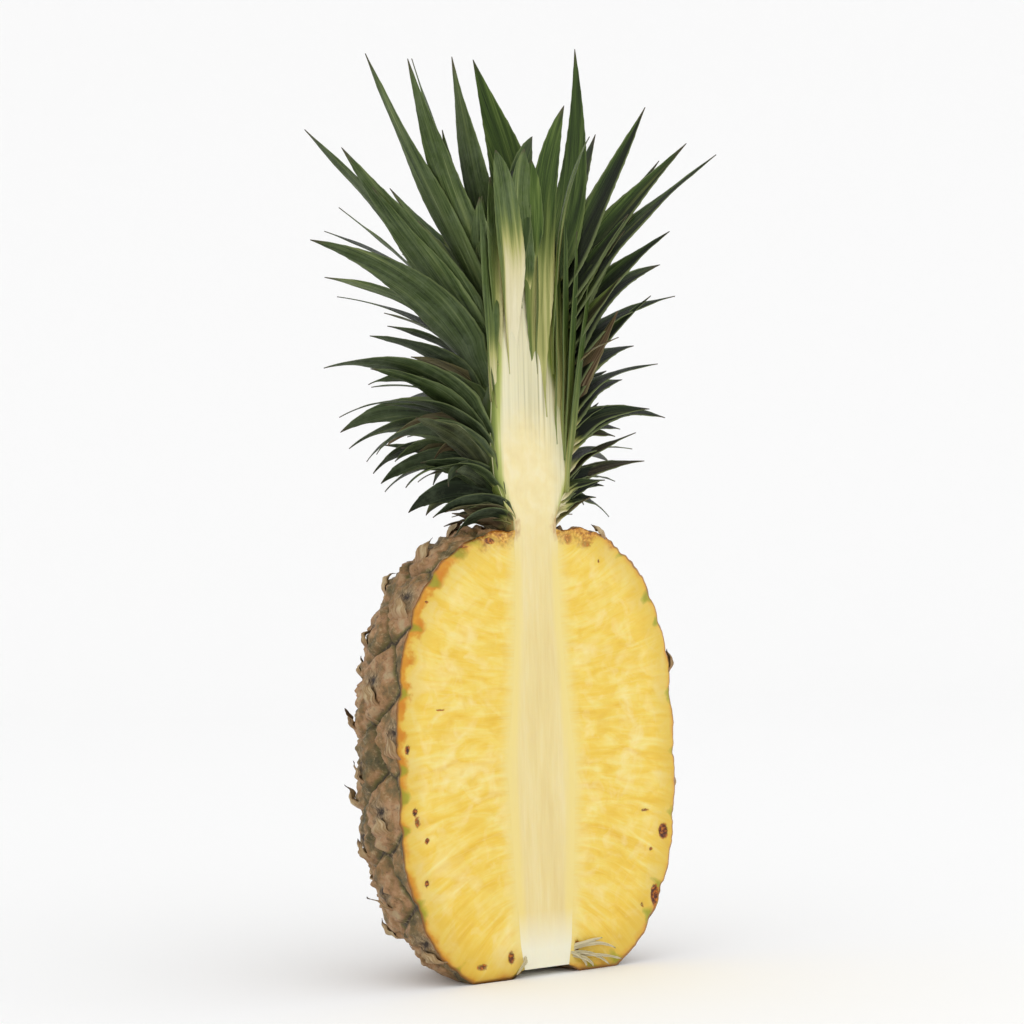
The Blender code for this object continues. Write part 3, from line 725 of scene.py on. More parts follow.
# Core, cut wet: dense cream fibre; above it the heart of the crown, white leaf bases with green lines
def coreMaterial():
    material, tree, shader = newMaterial("pineapple core and heart, freshly cut", **{
        "Roughness": 0.42, "IOR": 1.36, "Subsurface Radius": (1.0, 0.8, 0.4),
        "Subsurface Scale": 0.003})
    coords = add(tree, "TexCoord").outputs["Object"]
    leafy, side, bulb = readField(tree, "cut")[1]
    across, _, height = add(tree, "SeparateXYZ", {0: coords}).outputs

    def lines(wide, up, detail, bend=0.3):
        return stretchedNoise(tree, coords, (wide, wide, up), detail, bend)

    fine = lines(1300.0, 60.0, 4.0, 0.6)
    fruitCore = add(tree, "ValToRGB", {0: fine}, stops=(
        (0.3, "#E2CB8C"), (0.5, "#E7D395"), (0.72, "#EBDBA2")))
    broad = add(tree, "ValToRGB", {0: lines(170.0, 24.0, 2.0, 0.6)}, stops=(
        (0.3, "#E3CD8E"), (0.5, "#E9D698"), (0.7, "#EEDFAA")))
    colour = mix(tree, 0.6, fruitCore, broad)
    # above the fruit the heart is smoother and whiter, with thin grey-brown lines on its right
    soft = lines(160.0, 22.0, 3.0)
    mottled = lines(230.0, 170.0, 4.0, 0.25)
    smoother = add(tree, "ValToRGB", {0: mottled}, stops=(
        (0.3, "#EAD9A2"), (0.5, "#EEDFAA"), (0.7, "#F1E5BA")))
    aloft = add(tree, "MapRange", {0: height, 1: 0.15, 2: 0.18}, interpolation_type="SMOOTHSTEP")
    colour = mix(tree, aloft, colour, smoother)
    whiteLines = add(tree, "ValToRGB", {0: lines(900.0, 9.0, 3.0)}, stops=(
        (0.34, "#A29A78"), (0.44, "#CFC8A0"), (0.6, "#E2DCBA"), (0.75, "#EEE9D2")))
    toRight = add(tree, "MapRange", {0: across, 1: -0.012, 2: 0.004, 3: 0.25, 4: 0.9})
    white = mix(tree, toRight, "#E7E1BE", whiteLines)
    bulbTop = add(tree, "Math", {0: soft, 1: 0.5, 2: bulb}, operation="MULTIPLY_ADD")
    above = add(tree, "MapRange", {0: bulbTop, 1: 1.0, 2: -0.3}, interpolation_type="SMOOTHSTEP")
    heartShare = add(tree, "Math", {0: above, 1: aloft}, operation="MULTIPLY")
    colour = mix(tree, heartShare, colour, white)
    stripes = add(tree, "ValToRGB", {0: lines(520.0, 4.0, 3.0)}, stops=(
        (0.34, "#4A5620"), (0.44, "#76833A"), (0.56, "#9AA556"), (0.7, "#C2C488")))
    colour = mix(tree, leafy, colour, stripes)
    # yellow-green rim along the sides above the fruit
    rim = add(tree, "Math", {0: side}, operation="ABSOLUTE")
    wavy = add(tree, "Math", {0: lines(420.0, 12.0, 3.0), 1: 0.3, 2: rim}, operation="MULTIPLY_ADD")
    rimShare = add(tree, "MapRange", {0: wavy, 1: 0.9, 2: 1.2})
    flank = add(tree, "MapRange", {0: height, 1: 0.163, 2: 0.185})
    rimAloft = add(tree, "Math", {0: rimShare, 1: flank}, operation="MULTIPLY")
    rimColour = add(tree, "ValToRGB", {0: rimAloft}, stops=(
        (0.0, "#D8D49A"), (0.35, "#B3B96A"), (0.7, "#7C8A3E"), (1.0, "#4C5C28")))
    colour = over(tree, colour, rimColour, rimAloft, 0.0, 0.35)
    # inside the fruit the core's sides go over into the flesh, and its cut foot is white
    fleshy = add(tree, "MapRange", {0: wavy, 1: 0.8, 2: 1.12}, interpolation_type="SMOOTHSTEP")
    inFruit = add(tree, "MapRange", {0: height, 1: 0.165, 2: 0.15})
    fleshShare = add(tree, "Math", {0: fleshy, 1: inFruit}, operation="MULTIPLY")
    colour = mix(tree, fleshShare, colour, "#EDD88A")
    neckFrom = add(tree, "MapRange", {0: height, 1: 0.157, 2: 0.164})
    neckTo = add(tree, "MapRange", {0: height, 1: 0.18, 2: 0.168})
    neckSide = add(tree, "MapRange", {0: rim, 1: 0.5, 2: 0.95})
    neckAt = add(tree, "Math", {0: neckFrom, 1: neckTo}, operation="MULTIPLY")
    neckAt = add(tree, "Math", {0: neckAt, 1: neckSide}, operation="MULTIPLY")
    neckMarks = add(tree, "Math", {0: lines(900.0, 420.0, 5.0), 1: neckAt}, operation="MULTIPLY")
    colour = over(tree, colour, "#A8653A", neckMarks, 0.2, 0.62, 0.6)      # red-brown marks at the neck
    colour = over(tree, colour, "#EFEBD4", height, 0.024, 0.01)      # the white stalk end
    # painted shade: dark green at the top of the stem, partly the leaf bases' own green and partly shade
    # under the leaves that cover it
    shadedTopAt = add(tree, "Math", {0: soft, 1: 0.02, 2: height}, operation="MULTIPLY_ADD")
    colour = over(tree, colour, "#1D2812", shadedTopAt, 0.276, 0.286)
    finish(tree, shader, colour, ((0.3, 0.0005, mottled), (0.2, 0.0003, fine)))
    # no light passes through its thin border
    clearness = add(tree, "MapRange", {0: rim, 1: 0.6, 2: 1.0, 3: 0.25, 4: 0.0})
    connect(tree, shader.inputs["Subsurface Weight"], clearness)
    return material


core = makeCore(coreMaterial())
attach(core, "root")
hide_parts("core")
print("core and stem:", len(core.data.polygons), "faces")

# The crown. A leaf is the azimuth of its tip (0 to the right, 90 to the back, 180 to the left), the tip's
# reach from the axis, its height, and the leaf's width; the order is from the lowest tip to the steepest.
crown = {
    "leaves": (
        (158, 46, 172, 11), (172, 40, 170, 10), (4, 32, 176, 11), (182, 56, 181, 12), (148, 55, 183, 11),
        (132, 60, 187, 11), (184, 70, 193, 12), (12, 48, 182, 11), (156, 67, 196, 12), (112, 74, 192, 12),
        (0, 48, 194, 12), (128, 74, 203, 13), (168, 74, 207, 13), (24, 60, 190, 12), (178, 86, 224, 15),
        (-4, 54, 209, 12), (4, 68, 206, 13), (100, 72, 214, 13), (120, 65, 220, 13), (14, 56, 221, 13),
        (-6, 57, 226, 13), (142, 58, 238, 13), (180, 92, 269, 17), (12, 61, 234, 13), (144, 74, 260, 14),
        (130, 73, 254, 14), (-4, 67, 252, 14), (116, 87, 281, 15), (12, 78, 266, 14), (99, 67, 272, 16),
        (176, 75, 303, 15), (-2, 67, 277, 16), (134, 70, 287, 14), (125, 76, 306, 14), (144, 80, 315, 15),
        (14, 76, 289, 15), (-8, 84, 306, 15), (104, 67, 297, 14), (10, 76, 306, 14), (-2, 76, 311, 15),
        (92, 56, 298, 16), (178, 48, 336, 14), (160, 58, 340, 13), (198, 26, 286, 12), (34, 84, 320, 15),
        (4, 62, 325, 16), (-8, 29, 311, 12), (127, 42, 342, 13), (164, 26, 339, 13), (6, 22, 323, 14),
        (96, 26, 342, 15), (26, 45, 348, 14), (40, 17, 312, 12), (196, 15, 304, 11), (65, 70, 292, 16),
        (72, 66, 240, 14), (56, 72, 210, 13),
    ),
    "thickness": 1.0,
    "rimThickness": 0.25,
    "stations": 64,
    "columns": 13,
    "sunk": 3.0,            # a foot starts this deep inside the stem
    "footWidth": 0.62,      # the foot's width as a share of the blade's
    "tipHalfWidth": 0.15,
    "widenings": (1.1, 1.4),   # blade's width to the row's, on the right and on the left
    "twist": 0.5,           # how far the blade turns about its own length, in radians
    "backTwist": 0.9,       # and how much less at the back
    "backWider": 0.35,
    "unruly": (0.2, 0.3),   # how unevenly the high leaves turn, and how much more the low ones
    "channel": (28, 36),    # radius of the blade's channel at its foot, and how much more at its tip
    "widest": 14.5,         # no row counts as wider than this for its blade
    "lowest": 169.0,
    "highest": 262.0,
    "crowding": 1.5,        # over 1 more feet are low on the stem
    "clearance": 1.55,      # room between one leaf's foot and the next one's
    "spread": 0.85,         # how far round the stem a foot keeps others away, as a share of its width
    "azimuthMargin": 14.0,  # no foot is nearer than this to the cut
    "stemMiddle": 200.0,    # a tip's rise is seen from this height of the stem
    "rises": (-31.0, 84.0),     # rise of the lowest tip and of the steepest
    "startAngles": (40.0, 17.0),    # from the vertical, at the lowest foot and at the upright ones
    "uprightHeight": 225.0,
    "hug": 0.62,            # a foot lies closer to the stem than its layer, by this share of the angle
    # azimuths of feet that don't follow the rule
    "turnedFeet": {(96, 26, 342, 15): 40.0, (26, 45, 348, 14): 20.0, (92, 56, 298, 16): 70.0},
    "handles": (0.36, 0.42),    # how long a leaf keeps its direction at the foot and at the tip
    "spine": 0.22,          # how far the small spines stand off the margin
    "spineStep": 5.5,
    "ripple": 0.4,
    "paleFoot": 15.0,       # length of the pale foot
    "paleFootLeft": 8.0,    # the same on the left of the heart
    "forward": 11.5,        # leaves reach this far before the cut
    "forwardFrom": 0.18,    # from this share of their length on
    # leaves that the knife laid open along the front: foot, bend and aim (across, height), turn, top of the
    # pale part, how pale it is, width and how far it stands off
    "opened": {
        (196, 15, 304, 11): (((-8, 222), (-11.4, 284), (-14.4, 304)), 0.12, 268, 1, 13, 3.4),
        (6, 22, 323, 14): (((5, 206), (-1.4, 274), (11.5, 323)), -0.25, 276, 0.45, 12, 1.5),
        (-8, 29, 311, 12): (((10, 222), (7.4, 276), (23, 311)), 0.9, 286, 0.4, 10, 1.9),
        (40, 17, 312, 12): (((-5, 246), (-10, 286), (2, 312)), -0.2, 256, 0.3, 11.5, 0.9),
    },
    "bowed": {(26, 45, 348, 14): 1.0},     # leaves that leave the stem lower and rise steeper at the tip
}


def tipRise(row):
    # angle of the tip above the horizontal, seen from the middle of the stem
    return math.degrees(math.atan2(row[2] - crown["stemMiddle"], row[1]))


def startAngle(height):
    # angle from the vertical at which a leaf's layer leaves the stem, from the low ones to the upright ones
    low = min((height - crown["lowest"]) / (crown["uprightHeight"] - crown["lowest"]), 1)
    first, last = crown["startAngles"]
    return math.radians(first + (last - first) * low)


def heightAbove(base, width, other, otherWidth):
    # lowest height beside a leaf that is already there: it has moved out from the stem by its thickness
    radius = float(stemRadius(other[1]))
    spread = math.degrees(crown["spread"] * (width + otherWidth) / 2 / radius)
    beside = 1 - ((base[0] - other[0]) / spread) ** 2
    narrowing = radius - float(stemRadius(other[1] + 1))
    step = crown["clearance"] / (math.tan(startAngle(other[1])) + narrowing)
    return other[1] + step * math.sqrt(beside) if beside > 0 else 0.0


def leafBases(rows):
    # azimuth and height where each leaf leaves the stem, the most drooping lowest
    placed = []
    low, high = crown["rises"]
    for row in rows:
        azimuth = min(max(row[0], crown["azimuthMargin"]), 180 - crown["azimuthMargin"])
        share = min(max((tipRise(row) - low) / (high - low), 0), 1)
        height = crown["lowest"] + (crown["highest"] - crown["lowest"]) * share ** crown["crowding"]
        base = (azimuth, height)
        lowest = max([heightAbove(base, row[3], other, width) for other, width in placed] + [height])
        placed.append(((azimuth, lowest), row[3]))
    return [base for base, _ in placed]


def stemPath(row, base, along):
    # Middle line of a leaf and its length: a cubic Bezier in reach and height, turned round the stem by a
    # power of the way along; with the directions across the blade and towards its inner face
    azimuth, height = base
    layer = startAngle(height)
    first = np.array([float(stemRadius(height)) - crown["sunk"], height - crown["sunk"]])
    last = np.array(row[1:3])
    chord = last - first
    length = math.hypot(*chord)
    tilt = math.atan2(chord[0], chord[1])
    upright = 0.8 * float(smooth((tipRise(row) - 35) / 30))
    bow = crown["bowed"].get(tuple(row), 0)
    start = layer * crown["hug"] * (1 - upright) + tilt * (1.15 + bow) * upright
    end = min(2 * tilt - layer, math.radians(150)) * (1 - upright) + tilt * (0.8 - bow) * upright
    second = first + length * crown["handles"][0] * np.array([math.sin(start), math.cos(start)])
    third = last - length * crown["handles"][1] * np.array([math.sin(end), math.cos(end)])
    s = along[:, None]
    line = first * (1 - s) ** 3 + second * 3 * s * (1 - s) ** 2 + third * 3 * s * s * (1 - s) + last * s ** 3
    slope = (second - first) * (1 - s) ** 2 + (third - second) * 2 * s * (1 - s) + (last - third) * s * s
    slope /= np.linalg.norm(slope, axis=1)[:, None]
    angle = np.radians(azimuth + (row[0] - azimuth) * along ** 1.3)
    middle = np.stack((line[:, 0] * np.cos(angle), line[:, 0] * np.sin(angle), line[:, 1]), -1)
    middle[:, 0] += float(stemShift(height)) * (1 - along) ** 2
    middle[:, 1] += axisY
    side = np.stack((-np.sin(angle), np.cos(angle), 0 * angle), -1)
    inward = np.stack((-slope[:, 1] * np.cos(angle), -slope[:, 1] * np.sin(angle), slope[:, 0]), -1)
    return middle, side, inward, length


def openedPath(marks, standOff, tip, along):
    # Middle line of a leaf laid open by the knife: a quadratic Bezier up the cut's front from its foot to its
    # aim, which comes out of the stem over two fifths of its length; it turns from its aim to its tip with
    # the fourth power of the way along
    s = along[:, None]
    foot, bend, aim = [np.array(mark) for mark in marks]
    last = np.array([tip[0], tip[2]])
    line = foot * (1 - s) ** 2 + bend * 2 * s * (1 - s) + aim * s * s + (last - aim) * s ** 4
    slope = (bend - foot) * (1 - s) + (aim - bend) * s + (last - aim) * 2 * s ** 3
    slope /= np.linalg.norm(slope, axis=1)[:, None]
    front = cutY + 1.7 - (1.7 + standOff) * smooth(along / 0.4)
    middle = np.stack((line[:, 0], front + (tip[1] - front[-1]) * along ** 4, line[:, 1]), -1)
    side = np.stack((-slope[:, 1], 0 * along, slope[:, 0]), -1)
    inward = np.broadcast_to(np.array([0.0, -1.0, 0.0]), side.shape)
    return middle, side, inward, float(np.linalg.norm(last - foot))


def cutAcross(place, limit, columns):
    # columns spread over the part of each station that lies behind the knife
    fine = 201
    wide = np.broadcast_to(np.linspace(-1, 1, fine), (len(limit), fine))
    behind = place(wide)[..., 1] >= limit[:, None]
    some = behind.any(1)
    low = np.where(some, wide[0][behind.argmax(1)], 0)
    high = np.where(some, wide[0][::-1][behind[:, ::-1].argmax(1)], 0)
    v = low[:, None] + (high - low)[:, None] * np.linspace(0, 1, columns)[None, :]
    points = place(v)
    points[..., 1] = np.maximum(points[..., 1], limit[:, None])
    return points


def makeBlade(row, base, seed, stations, columns, dry=0.0, opened=None):
    # A blade: its half width falls to the tip by a power of the way along. Across, it rises by a power of the
    # way to its margins, which have a ripple, a sine of the way along, and a row of small spines.
    draw = np.random.default_rng(seed)
    along = np.linspace(0, 1, stations)
    azimuth, far, top, wide = row
    right = 1 - float(smooth((azimuth - 20) / 70))
    atBack = math.exp(-((azimuth - 85) / 30) ** 2)
    narrow, broad = crown["widenings"]
    half = narrow + (broad - narrow) * (1 - right) + crown["backWider"] * atBack
    half = half * min(wide, crown["widest"]) / 2
    if opened:
        marks, turn, paleTop, palest, width, standOff = opened
        toTip = math.radians(azimuth)
        tip = (far * math.cos(toTip), axisY + far * math.sin(toTip), top)
        middle, side, inward, length = openedPath(marks, standOff, tip, along)
        half = width / 2
        twist = np.full(stations, turn)
        limit = np.full(stations, -1e3)
        pale = palest * smooth((paleTop - middle[:, 2]) / 50 + 0.5)
        pale = np.maximum(pale, (0.1 + palest) * (1 - smooth((along - 0.1) / 0.3)))      # and its foot
        channel = 0.5 + 1.0 * (1 - along)
        fromTip = (1 - along ** 4.5) * (0.3 + 0.7 * smooth(along * 2.2))
    else:
        middle, side, inward, length = stemPath(row, base, along)
        calm, wild = crown["unruly"]
        unruly = calm + wild * float(smooth((225 - top) / 40))
        twist = crown["twist"] - crown["backTwist"] * math.exp(-((azimuth - 90) / 30) ** 2)
        twist = (twist + draw.normal(0, unruly)) * smooth(along * 2.2)
        limit = cutY + 0.1 - crown["forward"] * smooth((along - crown["forwardFrom"]) / 0.5)
        left = float(smooth((azimuth - 130) / 20))
        foot = crown["paleFoot"] + (crown["paleFootLeft"] - crown["paleFoot"]) * left
        pale = smooth(1.2 - along * length / foot)
        fromTip = (1 - along ** 1.7) * (crown["footWidth"] + (1 - crown["footWidth"]) * smooth(along * 4))
        channel = None
    half = half * fromTip + crown["tipHalfWidth"]
    if channel is None:
        atFoot, more = crown["channel"]
        channel = half ** 2 / (atFoot + more * along)
    spines = np.mod(along * length / crown["spineStep"] + draw.uniform(), 1) ** 3 * crown["spine"]
    spines = spines * smooth(along * 6) * smooth((1 - along) * 8)
    ripple = np.sin(2 * math.pi * (along * draw.uniform(1.5, 3) + draw.uniform()))
    ripple = (0 if opened else crown["ripple"]) * ripple
    turnedSide = side * np.cos(twist)[:, None] + inward * np.sin(twist)[:, None]
    turnedInward = inward * np.cos(twist)[:, None] - side * np.sin(twist)[:, None]
    fade = smooth((1 - along) * 6) * (1 if opened else smooth(along * 8))

    def place(v):
        reach = half[:, None] * v + np.where(np.abs(v) > 0.99, spines[:, None] * np.sign(v), 0)
        lift = channel[:, None] * np.abs(v) ** 1.8 + ripple[:, None] * np.abs(v) ** 3 * np.sign(v)
        lift = lift * fade[:, None]
        outwards = middle[:, None] + turnedSide[:, None] * reach[..., None]
        return outwards + turnedInward[:, None] * lift[..., None]

    # tone: the leaf's colour from the dark low leaves to the lighter high ones, partly their own colour and
    # partly painted shade on the low ones
    tone = (tipRise(row) - crown["rises"][0]) / (crown["rises"][1] - crown["rises"][0])
    tone = tone + np.random.default_rng(seed + 500).normal(0, 0.16)
    # painted light: leaves at the back are made lighter as if lit through from behind
    tone = tone + 0.25 * atBack
    # grey: how much of the grey underside and the wider pale rims a leaf gets, and how much painted shade
    # darkens its inner face; the right-hand leaves get it
    grey = 0.2 * right if opened else right * float(smooth((338 - top) / 12))
    turned = bool(opened) and (100 < azimuth < 260 or azimuth < 0)      # its outer face is in front
    return {"points": cutAcross(place, limit, columns), "out": along * length, "half": half, "tone": tone,
            "shift": seed * 20, "pale": pale, "dry": dry, "grey": grey, "turned": turned}


def makeLeaves(name, blades, material):
    # closed sheets whose thickness thins to the rims and to the tip
    middle = np.stack([blade["points"] for blade in blades])
    count, rows, columns = middle.shape[:3]
    along = np.linspace(0, 1, rows)[:, None]
    v = np.linspace(-1, 1, columns)[None, :]
    thick = crown["rimThickness"] + (crown["thickness"] - crown["rimThickness"]) * (1 - v ** 4)
    thick = thick * (0.35 + 0.65 * (1 - along))
    points = sheetPoints(middle, np.broadcast_to(thick, (count, rows, columns)))
    shape = points.shape[:4]
    turned = np.array([blade["turned"] for blade in blades])[:, None, None]
    oneFace = (count, rows, columns)
    inner = np.stack((np.broadcast_to(1 - turned, oneFace), np.broadcast_to(turned, oneFace)), 1)

    def each(key, axes):
        values = np.array([blade[key] for blade in blades], float)
        return np.broadcast_to(values.reshape(axes), shape)

    single, lengthwise = (count, 1, 1, 1), (count, 1, rows, 1)
    leafField = (np.broadcast_to(along, shape), np.broadcast_to(v, shape), inner)
    side = each("half", lengthwise) * v + each("shift", single)
    bladeField = (each("out", lengthwise), side, each("tone", single))
    finishField = (each("dry", single), each("pale", lengthwise), each("grey", single))
    fields = {"leaf": leafField, "blade": bladeField, "finish": finishField}
    fields = {key: np.stack(values, -1) for key, values in fields.items()}
    return makeMesh(name, points, sheetFaces(count, rows, columns), fields, materials=(material,))


# Leaf, tough and waxy: grey-green outside under a thin bloom, darker inside, with fine lengthwise veins
def leafMaterial():
    material, tree, shader = newMaterial("pineapple leaf, waxy with a grey bloom", **{
        "Roughness": 0.5, "IOR": 1.4, "Specular IOR Level": 0.3})
    coords = add(tree, "TexCoord").outputs["Object"]
    along, across, inner = readField(tree, "leaf")[1]
    blade, (_, _, tone) = readField(tree, "blade")
    dry, pale, grey = readField(tree, "finish")[1]
    fine = stretchedNoise(tree, blade, (0.05, 2.6, 0.0), 4.0)
    broad = stretchedNoise(tree, blade, (0.018, 0.45, 0.0), 2.0)
    lines = add(tree, "Math", {0: fine, 1: broad}, operation="ADD")
    lined = add(tree, "MapRange", {0: lines, 1: 0.7, 2: 1.32})
    # outside: the low leaves' dark colour, partly painted shade, goes over into the high leaves' lighter one
    # by tone
    low = add(tree, "ValToRGB", {0: lined}, stops=(
        (0.0, "#10160B"), (0.45, "#222C1B"), (0.8, "#38442E"), (1.0, "#4F5B45")))
    high = add(tree, "ValToRGB", {0: lined}, stops=(
        (0.0, "#243311"), (0.4, "#475928"), (0.75, "#647442"), (1.0, "#8A9562")))
    outside = mix(tree, tone, low, high)
    bloomAt = add(tree, "TexNoise", {"Vector": coords, "Scale": 95.0, "Detail": 8.0, "Roughness": 0.72})
    outside = over(tree, outside, "#727F61", bloomAt, 0.46, 0.7, 0.4)
    underside = add(tree, "Math", {0: grey, 1: 0.7}, operation="MULTIPLY")
    outside = mix(tree, underside, outside, "#5D5C5E")
    # inside: near black on low leaves as painted shade, lighter on high and back leaves as painted light
    # coming through them
    insideLowWithShade = add(tree, "ValToRGB", {0: lined}, stops=(
        (0.0, "#0A1007"), (0.5, "#1E2C13"), (1.0, "#43562C")))
    insideHighWithLight = add(tree, "ValToRGB", {0: lined}, stops=(
        (0.0, "#1E300C"), (0.5, "#445A20"), (1.0, "#6C7F3D")))
    inside = over(tree, insideLowWithShade, insideHighWithLight, tone, 0.5, 1.0)
    # painted shade: the inner face of the right-hand leaves darkened to near black towards one margin
    paintedShadeAt = add(tree, "MapRange", {0: across, 1: 0.45, 2: -0.15, 4: 0.85})
    paintedShadeShare = add(tree, "Math", {0: paintedShadeAt, 1: grey}, operation="MULTIPLY")
    inside = mix(tree, paintedShadeShare, inside, "#0B1007")
    colour = mix(tree, inner, outside, inside)
    # pale rims, a foot that goes from green over yellow-green to cream, dry tips and dry leaves
    rimAt = add(tree, "Math", {0: across}, operation="ABSOLUTE")
    wideRim = add(tree, "Math", {0: grey, 1: 0.12, 2: rimAt}, operation="MULTIPLY_ADD")
    colour = over(tree, colour, "#86935C", wideRim, 0.9, 1.06, 0.6)      # pale rims
    ragged = add(tree, "Math", {0: broad, 1: -0.5}, operation="ADD")
    margin = add(tree, "MapRange", {0: across, 1: 0.3, 2: 1.0, 4: -0.55}, interpolation_type="SMOOTHSTEP")
    inPale = add(tree, "Math", {0: margin, 1: pale, 2: pale}, operation="MULTIPLY_ADD")
    paleAt = add(tree, "Math", {0: ragged, 1: 0.9, 2: inPale}, operation="MULTIPLY_ADD")
    paleColour = add(tree, "ValToRGB", {0: paleAt}, stops=(
        (0.0, "#5E6C30"), (0.3, "#868F4A"), (0.5, "#B0AE6C"), (0.75, "#D9D0A2"), (1.0, "#E7DFBC")))
    colour = over(tree, colour, paleColour, paleAt, 0.08, 0.5)      # pale foot
    tipAt = add(tree, "Math", {0: broad, 1: 0.12, 2: along}, operation="MULTIPLY_ADD")
    colour = over(tree, colour, "#4E4234", tipAt, 1.0, 1.06, 0.85)      # the dry tip
    straw = add(tree, "ValToRGB", {0: lined}, stops=(
        (0.0, "#46321F"), (0.4, "#6E5438"), (0.8, "#A08866"), (1.0, "#C4B292")))
    colour = mix(tree, dry, colour, straw)
    finish(tree, shader, colour, ((0.8, 0.0005, lines),))
    return material


leafFinish = leafMaterial()
leafRows = sorted(crown["leaves"], key=tipRise)
leafFeet = leafBases(leafRows)
for number, (row, base) in enumerate(zip(leafRows, leafFeet), start=1):
    base = (crown["turnedFeet"].get(row, base[0]), base[1])
    blade = makeBlade(row, base, number, crown["stations"], crown["columns"], opened=crown["opened"].get(row))
    leaf = makeLeaves(f"crown_leaf_{number:02d}", [blade], leafFinish)
    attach(leaf, "root")
    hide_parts(f"leaf_{number:02d}")
print("crown:", len(leafRows), "leaves")

# Smaller leaves: ones with their own place, short ones that fill the crown, and dry ones round the neck
small = {
    "stations": 36,
    "columns": 9,
    # tip's azimuth, reach, height and width, foot's azimuth and height, how dry it is
    "single": (
        (-4, 56, 252, 9, 14, 205, 0), (-6, 40, 246, 10, 14, 200, 0.55), (2, 33, 182, 7, 14, 168, 0),
        (-2, 27, 176, 8, 16, 164, 0.35), (8, 44, 188, 8, 14, 172, 0), (-7, 46, 200, 7, 14, 176, 0.1),
        (176, 46, 190, 10, 166, 176, 0), (184, 52, 206, 11, 166, 184, 0.1),
        (170, 34, 172, 8, 166, 167, 0.3),
        # between the right side and the back
        (30, 60, 246, 11, 26, 204, 0), (42, 66, 236, 12, 38, 198, 0), (24, 58, 266, 12, 24, 214, 0),
        (48, 62, 262, 12, 44, 208, 0), (34, 56, 282, 12, 30, 222, 0), (56, 58, 246, 12, 52, 202, 0),
        (20, 50, 284, 11, 22, 230, 0), (50, 48, 292, 12, 46, 226, 0), (38, 44, 292, 12, 36, 236, 0),
    ),
    # leaves laid open at the front: tip's azimuth, reach, height and width, then as in the crown's list
    "opened": (
        ((188, 20.3, 287, 8), (((-17, 212), (-21, 258), (-20.1, 287)), 0.35, 232, 0.6, 9.5, 1.8)),
        ((192, 17.2, 294, 6), (((-14, 226), (-17.5, 268), (-16.8, 294)), 0.1, 268, 0.5, 7, 1.5)),
        ((230, 3.8, 294, 7), (((-1.6, 244), (-3.6, 270), (-2.4, 294)), -0.1, 252, 0.7, 6.6, 1.7)),
        ((250, 4.6, 305, 6), (((-5, 258), (-5, 286), (-3, 305)), 0.1, 240, 0.2, 11, 1)),
        ((290, 4.6, 301, 6), (((1, 256), (-0.5, 284), (0.5, 301)), -0.3, 240, 0.2, 10, 1.1)),
        ((20, 10, 290, 5), (((3.2, 222), (2.2, 256), (9.4, 290)), 0.3, 270, 0.5, 6, 1.2)),
        ((10, 15, 280, 5), (((11, 196), (10, 236), (14.8, 280)), 0.5, 256, 0.45, 6, 1.5)),
        ((0, 19, 286, 5), (((14, 190), (12, 236), (19, 286)), 0.6, 236, 0.4, 6, 1.4)),
        ((4, 26, 276, 5), (((14.8, 184), (13, 226), (26, 276)), 0.6, 226, 0.4, 6, 1.5)),
        ((4, 32, 262, 5), (((15, 178), (14, 212), (32, 262)), 0.6, 212, 0.4, 6, 1.4)),
    ),
    # pale fibres at the stalk's end, in the same order
    "fibres": (
        ((-9, 28, 1.2, 1.4), (((11.5, 7), (19, 8.5), (27.7, 1.2)), 0.2, 400, 2, 0.7, 1.5)),
        ((-8, 31, 7, 1.2), (((12, 8.5), (22, 12.5), (30.7, 7)), 0.5, 400, 2, 0.45, 1.5)),
        ((-6, 22, 0.8, 1.6), (((11, 6), (16, 6), (21.9, 0.8)), 0, 400, 2, 0.8, 1.5)),
        ((-12, 18, 1.6, 1), (((10.5, 8), (15, 6), (17.6, 1.6)), 0.3, 400, 2, 0.5, 1.5)),
        ((-7, 34, 2.6, 1), (((12, 6), (23, 6.5), (33.7, 2.6)), 0.1, 400, 2, 0.45, 1.5)),
        ((-10, 25, 11.5, 0.9), (((12, 9.5), (18, 12), (24.6, 11.5)), 0.6, 400, 2, 0.4, 1.5)),
        ((192, 14, 1.5, 1.4), (((-8.5, 8), (-12, 6.5), (-13.7, 1.5)), 0.2, 400, 2, 0.6, 1.5)),
    ),
    "fillers": 50,
    "fillerLength": (0.55, 0.86),       # as shares of their neighbour's
    "fillerWidth": (0.45, 0.85),
    "skirt": 32,
    "skirtReach": (34, 60),
    "skirtWidth": (8, 12),
    "neck": 26,
    "neckReach": (20, 33),
    "neckTop": (165, 177),
    "neckWidth": (4, 8),
    "neckFoot": (161, 168),
}


